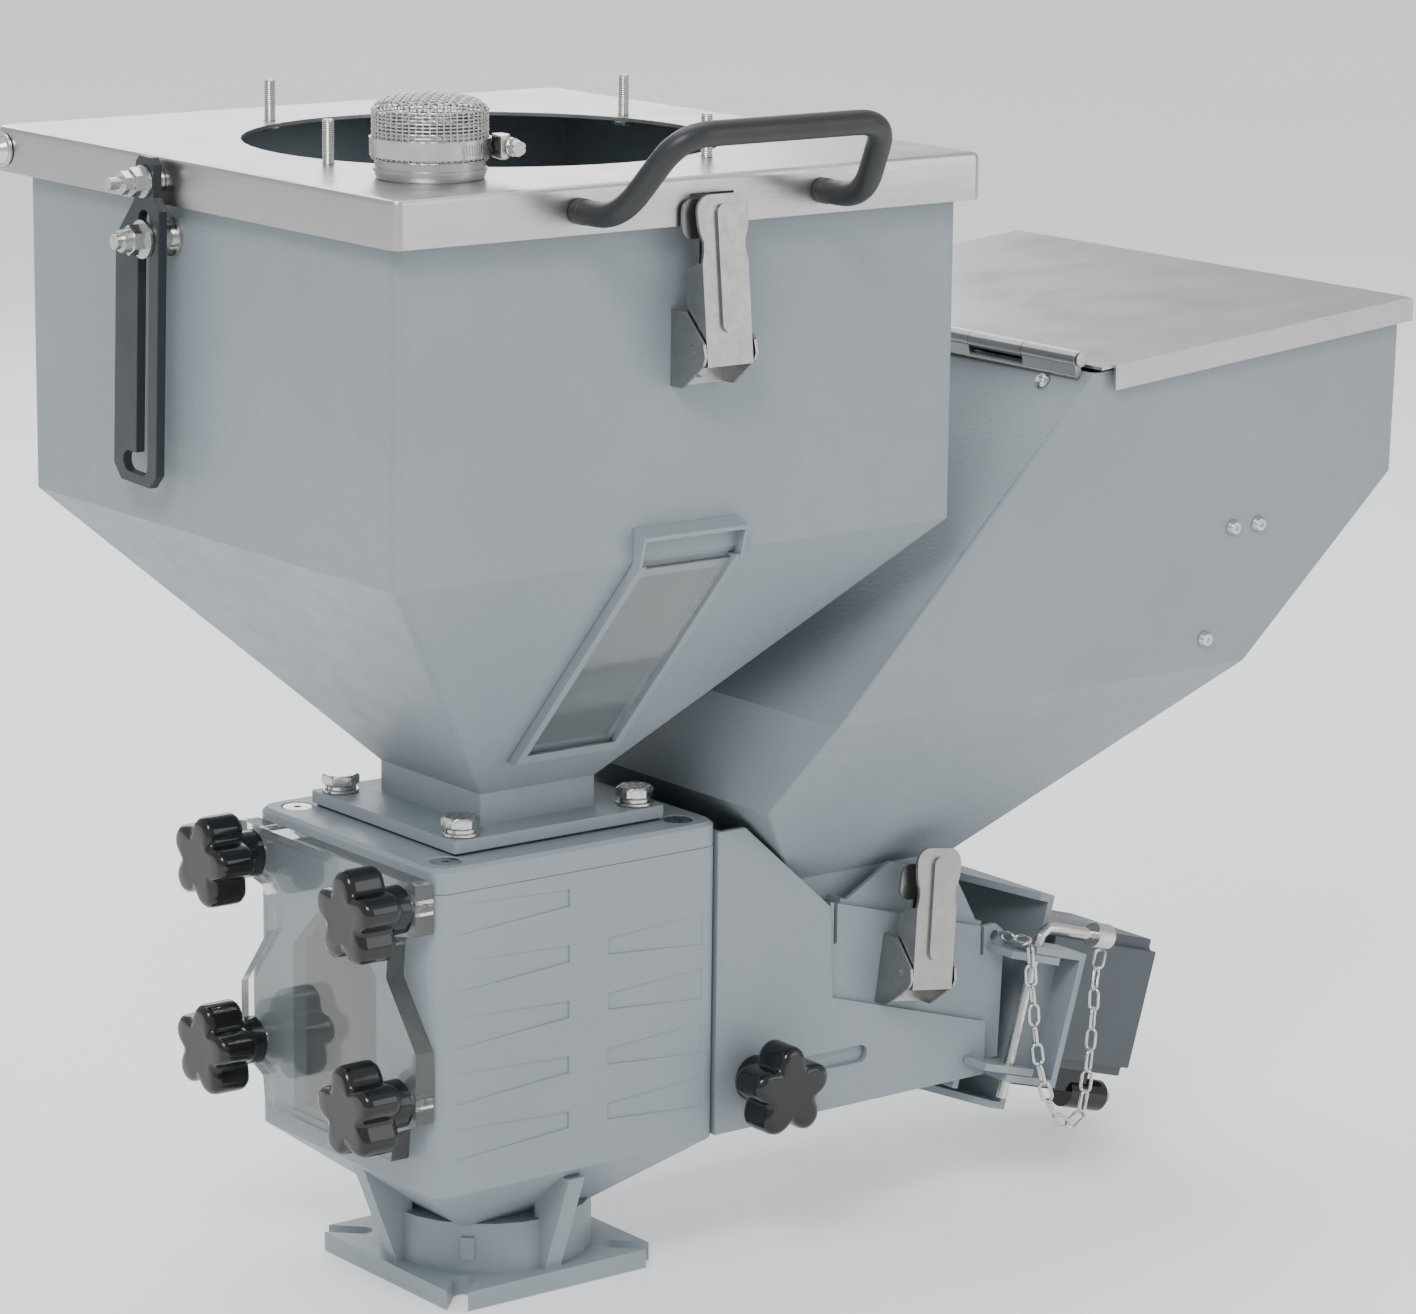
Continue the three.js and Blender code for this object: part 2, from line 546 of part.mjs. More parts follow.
function ventMeshCap() {
  const z = LID_TOP_Z + 8;
  const r = VENT.r + 0.4;
  const profile = [[r, 0], [r + 0.8, 0], [r + 0.9, 25], [r - 0.3, 28.4], [r - 3.8, 30.2], [r - 14, 31.2], [0, 31.5],
    [0, 30.7], [r - 14, 30.4], [r - 4.2, 29.4], [r - 1, 27.8], [r, 24.6], [r, 0]];
  const geometry = new THREE.LatheGeometry(profile.map(([x, y]) => new THREE.Vector2(x, y)), 24);
  geometry.rotateX(Math.PI / 2);
  geometry.translate(VENT.x, VENT.y, z);
  return solid(geometry);
}

function hoseClamp() {
  const z = LID_TOP_Z + 10;
  const band = cut(
    rod([VENT.x, VENT.y, z], [VENT.x, VENT.y, z + 9], VENT.r + 2.4, 24),
    rod([VENT.x, VENT.y, z - 1], [VENT.x, VENT.y, z + 10], VENT.r + 1.6, 24),
  );
  const x = VENT.x + 23.5;
  const y = VENT.y - 17.5;
  const housing = block(x - 3, y - 10, z - 2, x + 6.5, y + 3, z + 10);
  const bore = rod([VENT.x, VENT.y, z - 5], [VENT.x, VENT.y, z + 20], VENT.r + 1.9, 24);
  const screw = rod([x + 4, y - 16, z + 4.5], [x + 6, y + 14, z + 4.5], 3.6, 14);
  return cut(joined(band, cut(joined(housing, screw), bore)), rod([x + 3.9, y - 17, z + 4.5],
    [x + 4.1, y - 14.5, z + 4.5], 1.4, 6));
}

function lidHandle() {
  const out = -207;
  const grip = -237;
  const v = (x, y, z) => new THREE.Vector3(x, y, z);
  const wall = LID_FRONT_Y - GAP;
  const path = filletedPath([v(-72, wall, 573), v(-72, out, 573), v(-60, grip, 613), v(60, grip, 613),
    v(72, out, 573), v(72, wall, 573)], 15);
  const tube = tubeAlong(path, 6, 40, 5);
  const studs = [-1, 1].map((side) => rod([side * 72, LID_FRONT_Y - 1, 573], [side * 72, LID_FRONT_Y + 6, 573], 3, 12));
  return joined(tube, ...studs);
}

// Round-headed pivot screw with a collar bush, on one side of the lid.
function lidPivotScrew(side) {
  const x = (d) => side * d;
  const bolt = rod([x(160), PIVOT_Y, PIVOT_Z], [x(LID_HALF_X + 1), PIVOT_Y, PIVOT_Z], 4, 16);
  const washer = rod([x(LID_HALF_X + GAP), PIVOT_Y, PIVOT_Z], [x(LID_HALF_X + 2), PIVOT_Y, PIVOT_Z], 8.6, 24);
  const head = rod([x(LID_HALF_X + 1.9), PIVOT_Y, PIVOT_Z], [x(LID_HALF_X + 6), PIVOT_Y, PIVOT_Z], 6.8, 20, 4);
  const nut = rod([x(157), PIVOT_Y, PIVOT_Z], [x(164), PIVOT_Y, PIVOT_Z], 7, 6);
  const drive = rod([x(LID_HALF_X + 3.6), PIVOT_Y, PIVOT_Z], [x(LID_HALF_X + 7), PIVOT_Y, PIVOT_Z], 2.4, 6);
  return cut(joined(bolt, washer, head, nut), drive);
}

// ---------------------------------------------------------------- lid stay
const STAY_SLOT_FOOT_Z = 433.5;
const STAY_LEAN = THREE.MathUtils.degToRad(2.5);

function lidStay() {
  const top = PIVOT_Z + 12;
  const foot = 423;
  const y = STAY_PIN_Y;
  const outline = polygon([[y - 8, top - 3], [y - 5, top], [y + 5, top], [y + 8, top - 3], [y + 10, 562], [y + 26, 543],
    [y + 26, foot + 7], [y + 19, foot], [y - 7, foot], [y - 13.5, foot + 7], [y - 13.5, 560], [y - 8.5, 566]]);
  const slotHalf = 5.1;
  const slot = stadium(y, STAY_GUIDE_Z + 9, y, STAY_SLOT_FOOT_Z, slotHalf);
  const pocket = stadium(y, STAY_SLOT_FOOT_Z, y + 12, STAY_SLOT_FOOT_Z, slotHalf);
  const x0 = STAY_X;
  const x1 = STAY_X + STAY_SHEET;
  const pin = rod([x0 - 1, STAY_PIN_Y, PIVOT_Z], [x1 + 1, STAY_PIN_Y, PIVOT_Z], 4.4, 16);
  const plate = cut(plateYZ(outline, x0, x1), plateYZ(slot, x0 - 1, x1 + 1), plateYZ(pocket, x0 - 1, x1 + 1), pin);
  const geometry = geometryOf(plate);
  geometry.translate(0, -STAY_PIN_Y, -PIVOT_Z);
  geometry.rotateX(STAY_LEAN);
  geometry.translate(0, STAY_PIN_Y, PIVOT_Z);
  return solid(geometry);
}

function hexNutX(x0, x1, y, z, acrossFlats) {
  return rod([x0, y, z], [x1, y, z], acrossFlats / Math.sqrt(3), 6);
}

function stayPivotBolt() {
  const y = STAY_PIN_Y;
  const z = PIVOT_Z;
  const wall = -LID_HALF_X;
  const bolt = rod([-203, y, z], [wall + 4, y, z], 3, 12);
  const spacer = rod([STAY_X + STAY_SHEET + GAP, y, z], [wall - GAP, y, z], 5.4, 16);
  const bush = rod([STAY_X - 1, y, z], [STAY_X + STAY_SHEET + 1, y, z], 3.9, 16);
  const washer = rod([STAY_X - 1.9, y, z], [STAY_X - GAP, y, z], 8, 20);
  const nut = hexNutX(STAY_X - 8, STAY_X - 1.8, y, z, 12.5);
  const second = hexNutX(STAY_X - 13, STAY_X - 8.4, y, z, 10);
  const cap = rod([STAY_X - 8.6, y, z], [STAY_X - 7.9, y, z], 5, 14);
  return joined(bolt, spacer, bush, washer, nut, second, cap);
}

function stayGuideBolt() {
  const y = STAY_GUIDE_Y;
  const z = STAY_GUIDE_Z;
  const wall = -HOPPER_HALF_X;
  const bolt = rod([-200, y, z], [wall + 6, y, z], 4, 14);
  const baseWasher = rod([wall - GAP - 1.6, y, z], [wall - GAP, y, z], 9.5, 22);
  const spacer = rod([STAY_X + STAY_SHEET + GAP, y, z], [wall - 1.5, y, z], 6.5, 16);
  const washer = rod([STAY_X - 2, y, z], [STAY_X - GAP, y, z], 9.5, 22);
  const nut = hexNutX(STAY_X - 9, STAY_X - 1.9, y, z, 13);
  const cap = rod([STAY_X - 13.5, y, z], [STAY_X - 8.9, y, z], 5.6, 14, 6.2);
  return joined(bolt, baseWasher, spacer, washer, nut, cap);
}

// ---------------------------------------------------------------- toggle latches
// Both latches share one build: a base with two pointed ears, a lever and a hook strap behind it. They are
// drawn with the lever's pivot at the origin, for a wall that faces -Y and stands at the distance out
// behind it.
const LATCH = { halfWidth: 16, leverHalf: 13.6, out: 16, sheet: 1.6 };
const LEVER_LEAN = THREE.MathUtils.degToRad(-5.9);

// Turns a latch piece about its pivot in the wall's plane and carries it to its place.
function onWall(manifold, wall, x, z, tilt) {
  const geometry = geometryOf(manifold);
  geometry.rotateY(tilt);
  geometry.translate(x, wall - GAP - LATCH.out, z);
  return solid(geometry);
}

function sidePlates(outline, outer, sheet) {
  return joined(plateYZ(outline, -outer, -outer + sheet), plateYZ(outline, outer - sheet, outer));
}

function latchBase() {
  const y = LATCH.out;
  const w = LATCH.halfWidth;
  const plate = block(-w, y - 1.6, -19, w, y, 4);
  const ear = polygon([[y, -19], [y, 18], [y - 10, 18], [y - 25, 4], [y - 26.5, -2], [y - 25, -6], [y - 9, -19]]);
  const pin = rod([-w - 1.2, 0, 0], [w + 1.2, 0, 0], 2.5, 12);
  const screw = rod([0, y - 1, -12], [0, y - 4, -12], 4.6, 16, 3);
  return joined(plate, sidePlates(ear, w, LATCH.sheet), pin, screw);
}

function latchLever(reach) {
  const waist = reach - 22;
  const face = -9.15;
  const half = LATCH.leverHalf;
  const head = 15;
  const neck = 12.2;
  const shape = new THREE.Shape();
  shape.moveTo(-half, -8);
  shape.lineTo(half, -8);
  shape.lineTo(half, waist - 10);
  shape.quadraticCurveTo(neck, waist - 6, neck, waist);
  shape.quadraticCurveTo(head, waist + 5, head, waist + 11);
  shape.absarc(head - 8, reach - 8, 8, 0, Math.PI / 2, false);
  shape.absarc(8 - head, reach - 8, 8, Math.PI / 2, Math.PI, false);
  shape.quadraticCurveTo(-head, waist + 5, -neck, waist);
  shape.quadraticCurveTo(-neck, waist - 6, -half, waist - 10);
  const front = plateXZ(shape, face, face + 1.8, 3);
  const rib = plateXZ(stadium(0, 12, 0, reach - 9, 4.4), face - 1.6, face + 0.5, 6);
  const cheek = polygon([[face, -8], [face, waist - 10], [face + 4, waist - 10], [5.5, waist - 14], [5.5, -4], [2, -8]]);
  const bore = rod([-20, 0, 0], [20, 0, 0], 2.9, 12);
  const lever = cut(joined(front, rib, sidePlates(cheek, half, LATCH.sheet)), bore);
  const geometry = geometryOf(lever);
  geometry.rotateX(LEVER_LEAN);
  return solid(geometry);
}

// Place of the hook's pivot on the lever, counted from the lever's pivot.
const HOOK_PIVOT = { y: 0.5, z: 14 };

function latchHook(top) {
  const { y, z } = HOOK_PIVOT;
  const strapY = LATCH.out - 11.2;
  const eye = rod([-11.4, y, z], [11.4, y, z], 2.4, 12);
  const strap = block(-9.5, strapY - 1.6, z + 1, 9.5, strapY, top);
  const claw = plateXZ(roundedRect(-19.5, top - 19, 19.5, top, 6), strapY - 1.6, strapY, 4);
  const tail = block(-9.5, y - 1.2, z - 1.2, 9.5, strapY - 0.1, z + 2.4);
  return joined(eye, strap, claw, tail);
}

// ---------------------------------------------------------------- inspection cover and star knobs
function frontCover() {
  const x1 = -NECK_HALF_X - GAP;
  const x0 = x1 - COVER_THICK;
  const half = [[80, 233], [80, 207], [60, 203], [56, 198], [54, 180], [80, 147], [80, 110], [60, 101], [58, 86]];
  const outline = polygon([...half.map(([y, z]) => [y, z]), ...half.slice().reverse().map(([y, z]) => [-y, z])]);
  const holes = KNOB_Z.flatMap((z) => [-KNOB_Y, KNOB_Y].map((y) => rod([x0 - 1, y, z], [x1 + 1, y, z], 4.6, 14)));
  return cut(plateYZ(outline, x0, x1), ...holes);
}

// A five-lobed star knob along +Z: the hub's end is at 0 and the stud reaches below it.
function starKnob(studLength) {
  const shape = new THREE.Shape();
  const lobes = 5;
  const steps = 30;
  for (let i = 0; i < steps; i += 1) {
    const angle = (2 * Math.PI * i) / steps;
    const r = 21.3 + 3.7 * Math.cos(lobes * angle) - 0.5 * Math.cos(2 * lobes * angle);
    const point = [r * Math.cos(angle), r * Math.sin(angle)];
    if (i === 0) shape.moveTo(...point);
    else shape.lineTo(...point);
  }
  const options = { depth: 17, bevelEnabled: true, bevelThickness: 2.5, bevelSize: 2.5, bevelOffset: -2.5, bevelSegments: 1 };
  const star = new THREE.ExtrudeGeometry(shape, options);
  star.translate(0, 0, 15.5);
  const hub = rod([0, 0, 0], [0, 0, 16], 12.5, 16, 12);
  const stud = rod([0, 0, -studLength], [0, 0, 1], 4, 8);
  return joined(solid(star), hub, stud);
}

// ---------------------------------------------------------------- console and carriage
function dosingConsole() {
  const x0 = NECK_HALF_X + GAP;
  const foot = CONSOLE_FOOT_Z;
  const cheek = polygon([[x0, foot], [CONSOLE_END_X, foot], [CONSOLE_END_X, 99.5], [165.5, 131], [163, 181],
    [106, 232], [x0, 232]]);
  const cheeks = [-1, 1].map((side) => {
    const outer = side * CHEEK_HALF_Y;
    const inner = side * (CHEEK_HALF_Y - CHEEK_SHEET);
    return plateXZ(cheek, Math.min(outer, inner), Math.max(outer, inner));
  });
  const back = cut(block(x0, -CHEEK_HALF_Y, foot, x0 + CHEEK_SHEET, CHEEK_HALF_Y, 232),
    block(x0 - 1, -29, 136, x0 + 5, 29, 217));
  const floor = block(x0, -CHEEK_HALF_Y, foot, 236, CHEEK_HALF_Y, foot + CHEEK_SHEET);
  const slots = plateXZ(stadium(SLOT_START_X - 4, SLOT_Z, SLOT_START_X + SLOT_TRAVEL + 2, SLOT_Z, 4.7), -90, -70);
  return cut(joined(...cheeks, back, floor), slots);
}

const CARRIAGE_Y = CHEEK_HALF_Y - CHEEK_SHEET - 0.5;

function dosingCarriage() {
  const outer = CARRIAGE_Y;
  const inner = CARRIAGE_Y - CHEEK_SHEET;
  const roof = modulePlane(36);
  const cheek = polygon([[98, 77], [284, 77], [287, 147], [281, 152], [272, roof(272) + 1], [166, roof(166) + 1],
    [166, 150], [98, 150]]);
  const cheeks = [-1, 1].map((side) => plateXZ(cheek, side > 0 ? inner : -outer, side > 0 ? outer : -inner));
  const slab = (n0, n1, s0, s1) => {
    const corners = [[s0, n0], [s1, n0], [s1, n1], [s0, n1]].map(([s, n]) => {
      const p = fromModule(s, 0, n);
      return [p.x, p.z];
    });
    return polygon(corners);
  };
  const deck = cut(plateXZ(slab(33, 36, 76, 190), -outer, outer), block(154, -50, 100, 246, 50, 230));
  const endPlate = plateXZ(slab(-52, 36, 186, 190), -outer, outer);
  const frontPlate = plateXZ(slab(-52, 36, 40, 43), -outer, outer);
  const clipped = cut(frontPlate, block(60, -100, 0, 300, 100, 77));
  const axisHole = tubeHole(TUBE_R + 0.4, 30, 200);
  const lugs = [[25, 29], [-37, -33]].map(([n0, n1]) => plateXZ(slab(n0, n1, 186, 221.5), -98, -outer - 4));
  const roots = [[25, 29, 187], [-37, -33, 204]].map(
    ([n0, n1, s0]) => plateXZ(slab(n0, n1, s0, 221.5), -outer - 4.5, -inner));
  const pinHole = pinRod(PIN.r + 0.6, -60, 60);
  const chainHole = rod([280, -90, 145.5], [280, -60, 145.5], 3, 12);
  const reliefs = [[169.5, 160], [271.5, 137]].map(
    ([x, z]) => plateXZ(stadium(x, z, x, z + 60, 1.2), -outer - 1, -inner + 0.1));
  const studHole = rod([SLOT_START_X, -90, SLOT_Z], [SLOT_START_X, -60, SLOT_Z], 4.3, 14);
  const body = joined(...cheeks, deck, endPlate, clipped, ...lugs, ...roots);
  return cut(body, axisHole, pinHole, chainHole, studHole, ...reliefs);
}

function tubeHole(radius, s0, s1) {
  return rod(fromModule(s0, 0, 0).toArray(), fromModule(s1, 0, 0).toArray(), radius, 28);
}

const PIN = { s: 212, y: -88, r: 3.1 };

function pinRod(radius, n0, n1) {
  return rod(fromModule(PIN.s, PIN.y, n0).toArray(), fromModule(PIN.s, PIN.y, n1).toArray(), radius, 14);
}

// ---------------------------------------------------------------- dosing hopper
// Side profile: the heights of the folds, with the place in X of the front and back wall at each.
const DOSE = {
  foot: { z: 193, front: 150, back: 262, halfY: DOSE_FOOT_HALF_Y },
  knee: { z: 246, front: 98, back: 322, halfY: 108.5 },
  fold: { z: 299, front: 105, back: 383, halfY: DOSE_HALF_Y },
  shoulder: { z: 391, front: 198, back: 487, halfY: DOSE_HALF_Y },
};
const DOSE_TOP_FRONT = { x: 270, z: 463 };
const DOSE_TOP_BACK = { x: 489, z: 481.5 };

function doseTop(x) {
  const slope = (DOSE_TOP_BACK.z - DOSE_TOP_FRONT.z) / (DOSE_TOP_BACK.x - DOSE_TOP_FRONT.x);
  return DOSE_TOP_FRONT.z + (x - DOSE_TOP_FRONT.x) * slope;
}

function doseRings(inset, r) {
  const rings = [DOSE.foot, DOSE.knee, DOSE.fold, DOSE.shoulder].map(
    ({ z, front, back, halfY }) => rectRing(front + inset, back - inset, halfY - inset, r, z + inset * 0.3));
  const x0 = DOSE_TOP_FRONT.x + inset;
  const x1 = DOSE_TOP_BACK.x - inset;
  const rise = inset > 0 ? 1 : 0;
  rings.push(rectRing(x0, x1, DOSE_HALF_Y - inset, r, (x) => doseTop(x) + rise));
  return rings;
}

function dosingHopper() {
  const flangeLow = modulePlane(36.3);
  const spout = (inset, extra) => [
    rectRing(DOSE.foot.front + inset, DOSE.foot.back - inset, DOSE.foot.halfY - inset, 2, (x) => flangeLow(x) - extra)];
  const outer = loft([...spout(0, 0), ...doseRings(0, 2)]);
  const inner = loft([...spout(SHEET, 2), ...doseRings(SHEET, 2)]);
  const halfY = CARRIAGE_Y - CHEEK_SHEET - 0.7;
  const p = [[80, 36.3], [182, 36.3], [182, 39.3], [80, 39.3]].map(([s, n]) => {
    const q = fromModule(s, 0, n);
    return [q.x, q.z];
  });
  const flange = plateXZ(polygon(p), -halfY, halfY);
  const earPoints = [[82, 37], [180, 37], [154, 63], [108, 63]].map(([s, n]) => {
    const q = fromModule(s, 0, n);
    return [q.x, q.z];
  });
  const ears = [-1, 1].map((side) => {
    const y0 = side * halfY;
    const y1 = side * (halfY - 2.5);
    return plateXZ(polygon(earPoints), Math.min(y0, y1), Math.max(y0, y1));
  });
  const screwHoles = DOSE_SCREWS.map(([x, z]) => rod([x, -DOSE_HALF_Y - 2, z], [x, -DOSE_HALF_Y + 6, z], 2.4, 12));
  const slopeHoles = SLOPE_SCREWS.map(([x, y, z]) => rod([x - 4, y, z + 4], [x + 6, y, z - 6], 2.4, 12));
  return cut(joined(cut(joined(outer, flange), inner), ...ears), ...screwHoles, ...slopeHoles);
}

const DOSE_SCREWS = [[371, 372], [389, 372], [353, 314]];
const SLOPE_SCREWS = [-1, 1].map((side) => [262.4, side * 124, 455.5]);

// A pan-head screw along +Z, its seat at the origin.
function panScrew() {
  const head = rod([0, 0, GAP], [0, 0, GAP + 3], 4.6, 18, 3.2);
  const shank = rod([0, 0, -6], [0, 0, 1], 2.1, 10);
  const drive = rod([0, 0, 2.4], [0, 0, 5], 1.5, 4);
  return cut(joined(head, shank), drive);
}

const HINGE_R = 4.4;
const KNUCKLES = 7;
const KNUCKLE_LENGTH = 42;
const HINGE_HALF = (KNUCKLES * KNUCKLE_LENGTH) / 2;

function knuckle(index) {
  const y0 = -HINGE_HALF + index * KNUCKLE_LENGTH + 0.2;
  const y1 = y0 + KNUCKLE_LENGTH - 0.4;
  return { y0, y1, barrel: rod([DOSE_HINGE_X, y0, DOSE_HINGE_Z], [DOSE_HINGE_X, y1, DOSE_HINGE_Z], HINGE_R, 12) };
}

function hingeBore() {
  return rod([DOSE_HINGE_X, -HINGE_HALF - 2, DOSE_HINGE_Z], [DOSE_HINGE_X, HINGE_HALF + 2, DOSE_HINGE_Z], 2.6, 8);
}

function dosingHingeLeaf() {
  const down = new THREE.Vector2(-0.711, -0.703);
  const out = new THREE.Vector2(-0.703, 0.711);
  const corner = new THREE.Vector2(DOSE_TOP_FRONT.x, DOSE_TOP_FRONT.z).addScaledVector(out, GAP + 0.2);
  const at = (along, away) => {
    const q = corner.clone().addScaledVector(down, along).addScaledVector(out, away);
    return [q.x, q.y];
  };
  const leaf = plateXZ(polygon([at(3.2, 0), at(3.2, 1.8), at(5.6, 1.8), at(5.6, 0)]), -HINGE_HALF, HINGE_HALF);
  const parts = [leaf];
  for (let i = 0; i < KNUCKLES; i += 2) {
    const { y0, y1, barrel } = knuckle(i);
    const tab = plateXZ(polygon([at(5, 0), at(5, 1.8), [DOSE_HINGE_X - 3.4, DOSE_HINGE_Z - 1.5],
      [DOSE_HINGE_X + 0.5, DOSE_HINGE_Z - 3.6], at(1.6, 0)]), y0, y1);
    parts.push(barrel, tab);
  }
  return cut(joined(...parts), hingeBore());
}

function dosingHingePin() {
  const y = HINGE_HALF + 1;
  const bar = rod([DOSE_HINGE_X, -y, DOSE_HINGE_Z], [DOSE_HINGE_X, y, DOSE_HINGE_Z], 2.2, 12);
  const heads = [-1, 1].map((side) => rod([DOSE_HINGE_X, side * (HINGE_HALF + 0.3), DOSE_HINGE_Z],
    [DOSE_HINGE_X, side * (HINGE_HALF + 1.6), DOSE_HINGE_Z], 3.6, 14));
  return joined(bar, ...heads);
}

function dosingLid() {
  const x0 = 272.2;
  const x1 = 494;
  const drop = 13;
  const topAt = (x) => doseTop(x) + 3.4;
  const t = 1.6;
  const h = DOSE_LID_HALF_Y;
  const outerShape = (start) => polygon([[start, topAt(start)], [start, topAt(start) - drop], [x1 - 3, topAt(x1) - drop],
    [x1, topAt(x1) - drop], [x1, topAt(x1) - 2], [x1 - 2, topAt(x1)]]);
  const outer = plateXZ(outerShape(x0 + 8), -h, h);
  const inner = polygon([[x0 - 9, topAt(x0 - 9) - t], [x0 - 9, topAt(x0) - 30], [x1 - t, topAt(x1) - 30],
    [x1 - t, topAt(x1) - t]]);
  const shell = cut(outer, plateXZ(inner, -h + t, h - t));
  const sheet = plateXZ(polygon([[x0, topAt(x0) - t], [x0 + 20, topAt(x0 + 20) - t], [x0 + 20, topAt(x0 + 20)],
    [x0, topAt(x0)]]), -h + 2, h - 2);
  const parts = [shell, sheet];
  for (let i = 1; i < KNUCKLES; i += 2) {
    const { y0, y1, barrel } = knuckle(i);
    const tab = block(DOSE_HINGE_X + 0.5, y0, DOSE_HINGE_Z - HINGE_R + 0.4, x0 + 2, y1, DOSE_HINGE_Z - HINGE_R + 2.4);
    parts.push(barrel, tab);
  }
  return cut(joined(...parts), hingeBore());
}

// ---------------------------------------------------------------- screw and drive, in the module frame
function screwTube() {
  const tube = rod([-72, 0, 0], [200, 0, 0], TUBE_R, 28);
  const ring = rod([190 + GAP, 0, 0], [195, 0, 0], 35, 28);
  const bore = rod([-80, 0, 0], [210, 0, 0], TUBE_BORE_R, 28);
  const inlet = block(88, -21, 0, 168, 21, 40);
  return cut(joined(tube, ring), bore, inlet);
}

function dosingScrew() {
  const shaft = rod([-74, 0, 0], [206, 0, 0], 6, 14);
  const turns = 6;
  const perTurn = 10;
  const pitch = 43;
  const count = turns * perTurn;
  const rings = [];
  for (let i = 0; i <= count; i += 1) {
    const angle = (2 * Math.PI * i) / perTurn;
    const s = -72 + (pitch * i) / perTurn;
    const ring = [[4, 0], [21.5, 0], [21.5, 2.6], [4, 2.6]].map(
      ([r, ds]) => new THREE.Vector3(s + ds, r * Math.cos(angle), r * Math.sin(angle)));
    rings.push(ring);
  }
  const faces = [];
  const points = rings.flat();
  for (let i = 0; i < count; i += 1) {
    for (let j = 0; j < 4; j += 1) {
      const a = i * 4 + j;
      const b = i * 4 + ((j + 1) % 4);
      faces.push(a, b + 4, b, a, a + 4, b + 4);
    }
  }
  const last = count * 4;
  faces.push(0, 1, 2, 0, 2, 3, last, last + 2, last + 1, last, last + 3, last + 2);
  const geometry = new THREE.BufferGeometry().setFromPoints(points);
  geometry.setIndex(faces);
  return joined(shaft, solid(geometry));
}

function driveCoupling() {
  const hub = rod([206 + GAP, 0, 0], [221, 0, 0], 15, 24);
  return cut(hub, block(212, -16, -1.5, 215, 0, 1.5));
}

const WEB = { s0: 222, s1: 226, halfY: 78, halfN: 60 };

function motorBracket() {
  const leg = (n0, n1) => {
    const outline = polygon([[188, -40], [216, -WEB.halfY], [WEB.s1, -WEB.halfY], [WEB.s1, WEB.halfY],
      [216, WEB.halfY], [188, 40]]);
    return plateXY(outline, n0, n1);
  };
  const web = block(WEB.s0, -WEB.halfY, -WEB.halfN, WEB.s1, WEB.halfY, WEB.halfN);
  const shaftHole = rod([210, 0, 0], [230, 0, 0], 17, 28);
  const strapLegs = [[29.4, 33.4], [-41.4, -37.4]].map(([n0, n1]) => block(203, -98, n0, 240, -80.5, n1));
  const strapWeb = block(236, -98, -41.4, 240, -74, 33.4);
  const strapFoot = block(WEB.s0 + 0.5, -81, -41.4, 240, -74, 33.4);
  const body = joined(leg(56, 60), leg(-60, -56), web, ...strapLegs, strapWeb, strapFoot);
  return cut(body, shaftHole, rod([PIN.s, PIN.y, -70], [PIN.s, PIN.y, 70], PIN.r + 0.6, 14));
}

function driveGearbox() {
  const body = rod([WEB.s1 + GAP, 0, 0], [270, 0, 0], 35, 32);
  const rim = rod([262, 0, 0], [270, 0, 0], 38, 32);
  const stub = rod([221 + GAP, 0, 0], [228, 0, 0], 8, 16);
  return joined(body, rim, stub);
}

// Square housing with notched corners and a smaller end cap.
function driveMotor() {
  const h = 40;
  const notch = 6;
  const outline = [];
  for (let quarter = 0; quarter < 4; quarter += 1) {
    const turn = (quarter * Math.PI) / 2;
    for (const [a, b] of [[h, notch - h], [h, h - notch], [h - notch + 1.5, h - notch], [h - notch, h - notch + 1.5]]) {
      outline.push([a * Math.cos(turn) - b * Math.sin(turn), a * Math.sin(turn) + b * Math.cos(turn)]);
    }
  }
  const cap = plateYZ(roundedRect(-31, -31, 31, 31, 4), 349.9, 358, 2);
  return joined(plateYZ(polygon(outline), 270 + GAP, 350), cap);
}

function motorConnector() {
  const box = block(262, -30, -53, 330, 26, -40 - GAP);
  const gland = rod([318, -24, -54], [346, -24, -54], 9, 20);
  const nose = rod([345.9, -24, -54], [351, -24, -54], 9, 20, 5.5);
  return joined(box, gland, nose);
}

function lockPin() {
  const v = (s, n) => new THREE.Vector3(s, PIN.y, n);
  const path = filletedPath([v(PIN.s, -52), v(PIN.s, 43.5), v(262, 43.5)], 9);
  const bar = tubeAlong(path, PIN.r, 22, 5);
  const eye = rod([250, PIN.y, 43.5], [262, PIN.y, 43.5], 7, 16);
  const bore = rod([256, PIN.y, 34.5], [256, PIN.y, 40], 2.4, 10);
  return cut(joined(bar, eye), bore);
}

// The retaining chain hangs from the carriage's lug hole to the pin's eye.
function lockChain() {
  const hanging = [[281, -80.6, 146.3], [281, -91, 147], [281, -99.5, 147.6], [281, -104.6, 143], [281.5, -105, 130], [284, -105, 112],
    [285.5, -105.2, 97], [288.8, -105.6, 79], [294, -106, 62], [301, -106, 48], [311, -106, 41.5], [319.5, -106, 47],
    [323, -106, 64], [325.2, -105.6, 80.5], [327.3, -105, 102.8], [329, -104, 119]];
  const route = [...hanging.map((p) => new THREE.Vector3(...p)), fromModule(249.5, PIN.y - 10, 36.5)];
  return tubeAlong(new THREE.CatmullRomCurve3(route, false, 'centripetal'), 3.2, 30, 4);
}

